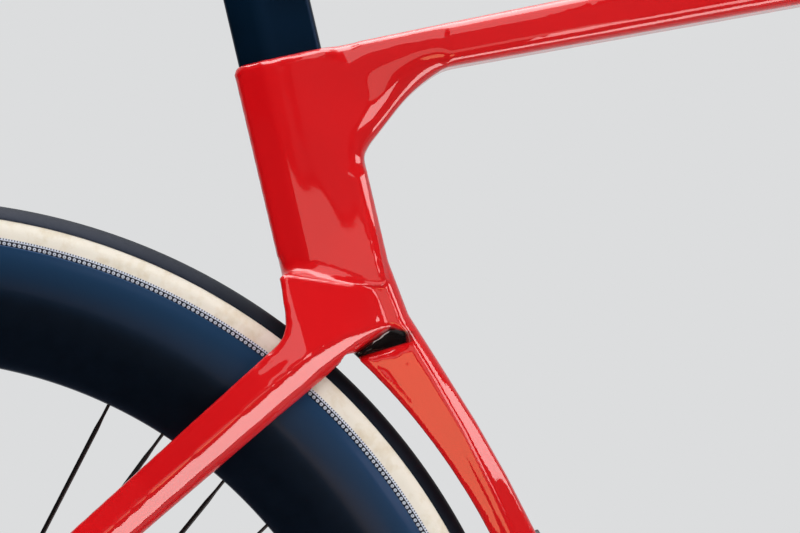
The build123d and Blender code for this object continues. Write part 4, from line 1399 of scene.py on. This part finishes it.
# Soft boxes: name, place, what it faces, width, height, glow (1 is white), colour, and
# whether it lights evenly ("fill"), shows in gloss only ("gloss") or does both ("both")
softBoxes = (
    ("overheadBox", (-0.1, 0.15, 1.9), (-0.1, 0.15, 0.3), 2.0, 2.4, 2.5, "FFFFFF", "both"),
    ("frontFill", (-0.5, -2.2, 1.0), (-0.1, 0.0, 0.3), 1.8, 1.4, 3.1, "FFFFFF", "fill"),
    ("rightFill", (1.6, -1.2, 0.7), (-0.1, 0.0, 0.3), 1.2, 1.2, 2.5, "FFF8F4", "fill"),
    ("ledgeBox", (-0.22, -0.10, 1.5), (-0.22, -0.10, 0.3), 1.1, 1.1, 7.0, "FFF0F0", "gloss"),
    ("highFront", (-0.17, -1.05, 1.15), (-0.17, 0.0, 0.35), 0.42, 0.9, 2.2, "FFECE8", "gloss"),
    ("frontEdge", (1.14, -0.40, 0.74), (-0.1, 0.0, 0.37), 0.9, 0.36, 8.0, "FFF0EE", "gloss"),
    ("floorStrip", (0.35, -0.36, -0.2), (0.35, -0.36, 1.0), 1.0, 0.28, 8.5, "FFE9E6", "gloss"),
    ("tubeRidge", (0.12, -0.56, 0.32), (-0.09, 0.0, 0.28), 0.2, 0.16, 7.0, "FFE2E0", "gloss"),
    ("lowFront", (-0.25, -1.15, 0.03), (-0.12, 0.0, 0.28), 0.35, 0.22, 4.2, "FFC896", "gloss"),
    ("veilHigh", (0.10, -2.3, 0.80), (-0.1, 0.0, 0.40), 1.75, 0.7, 0.12, "FFFFFF", "gloss"),
    ("veilLow", (-0.36, -2.3, 0.24), (-0.1, 0.0, 0.36), 1.38, 0.38, 1.5, "FFE4D8", "gloss"),
    ("rearFill", (-0.8, 1.9, 0.9), (-0.1, 0.0, 0.3), 1.4, 1.2, 1.6, "F2F6FF", "fill"),
)


def makeSoftBox(name, place, target, width, height, glow, colour, part):
    data = bpy.data.lights.new(name, "AREA")
    data.shape = "RECTANGLE"
    data.size, data.size_y = width, height
    data.energy = glow * pi * width * height
    data.color = linear(colour)[:3]
    box = addObject(name, data)
    box.visible_camera = False
    box.visible_glossy = part != "fill"
    box.visible_diffuse = part != "gloss"
    aim = (Vector(target) - Vector(place)).to_track_quat("-Z", "Y")
    box.matrix_world = Matrix.Translation(place) @ aim.to_matrix().to_4x4()


camera = {
    "place": (-0.11637, -1.00675, 0.35430),
    "lens": 85.5,
    "sensor": 36.0,
    "nearest": 0.05,
    "roll": 4.0,
}


def makeCamera():
    # square side view, rolled a little as the photograph is
    data = bpy.data.cameras.new("photoCamera")
    data.lens = camera["lens"]
    data.sensor_width = camera["sensor"]
    data.clip_start = camera["nearest"]
    view = addObject("photoCamera", data)
    roll = radians(camera["roll"])
    right = Vector((cos(roll), 0, -sin(roll)))
    up = Vector((sin(roll), 0, cos(roll)))
    turn = Matrix((right, up, right.cross(up))).transposed().to_4x4()
    view.matrix_world = Matrix.Translation(camera["place"]) @ turn
    bpy.context.scene.camera = view


print("stage: studio")
makeFloor()
makeWorld()
for row in softBoxes:
    makeSoftBox(*row)
makeCamera()
bpy.context.scene.view_settings.view_transform = "Standard"

[[list(corner) for corner in box] for box in (cadBox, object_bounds())]
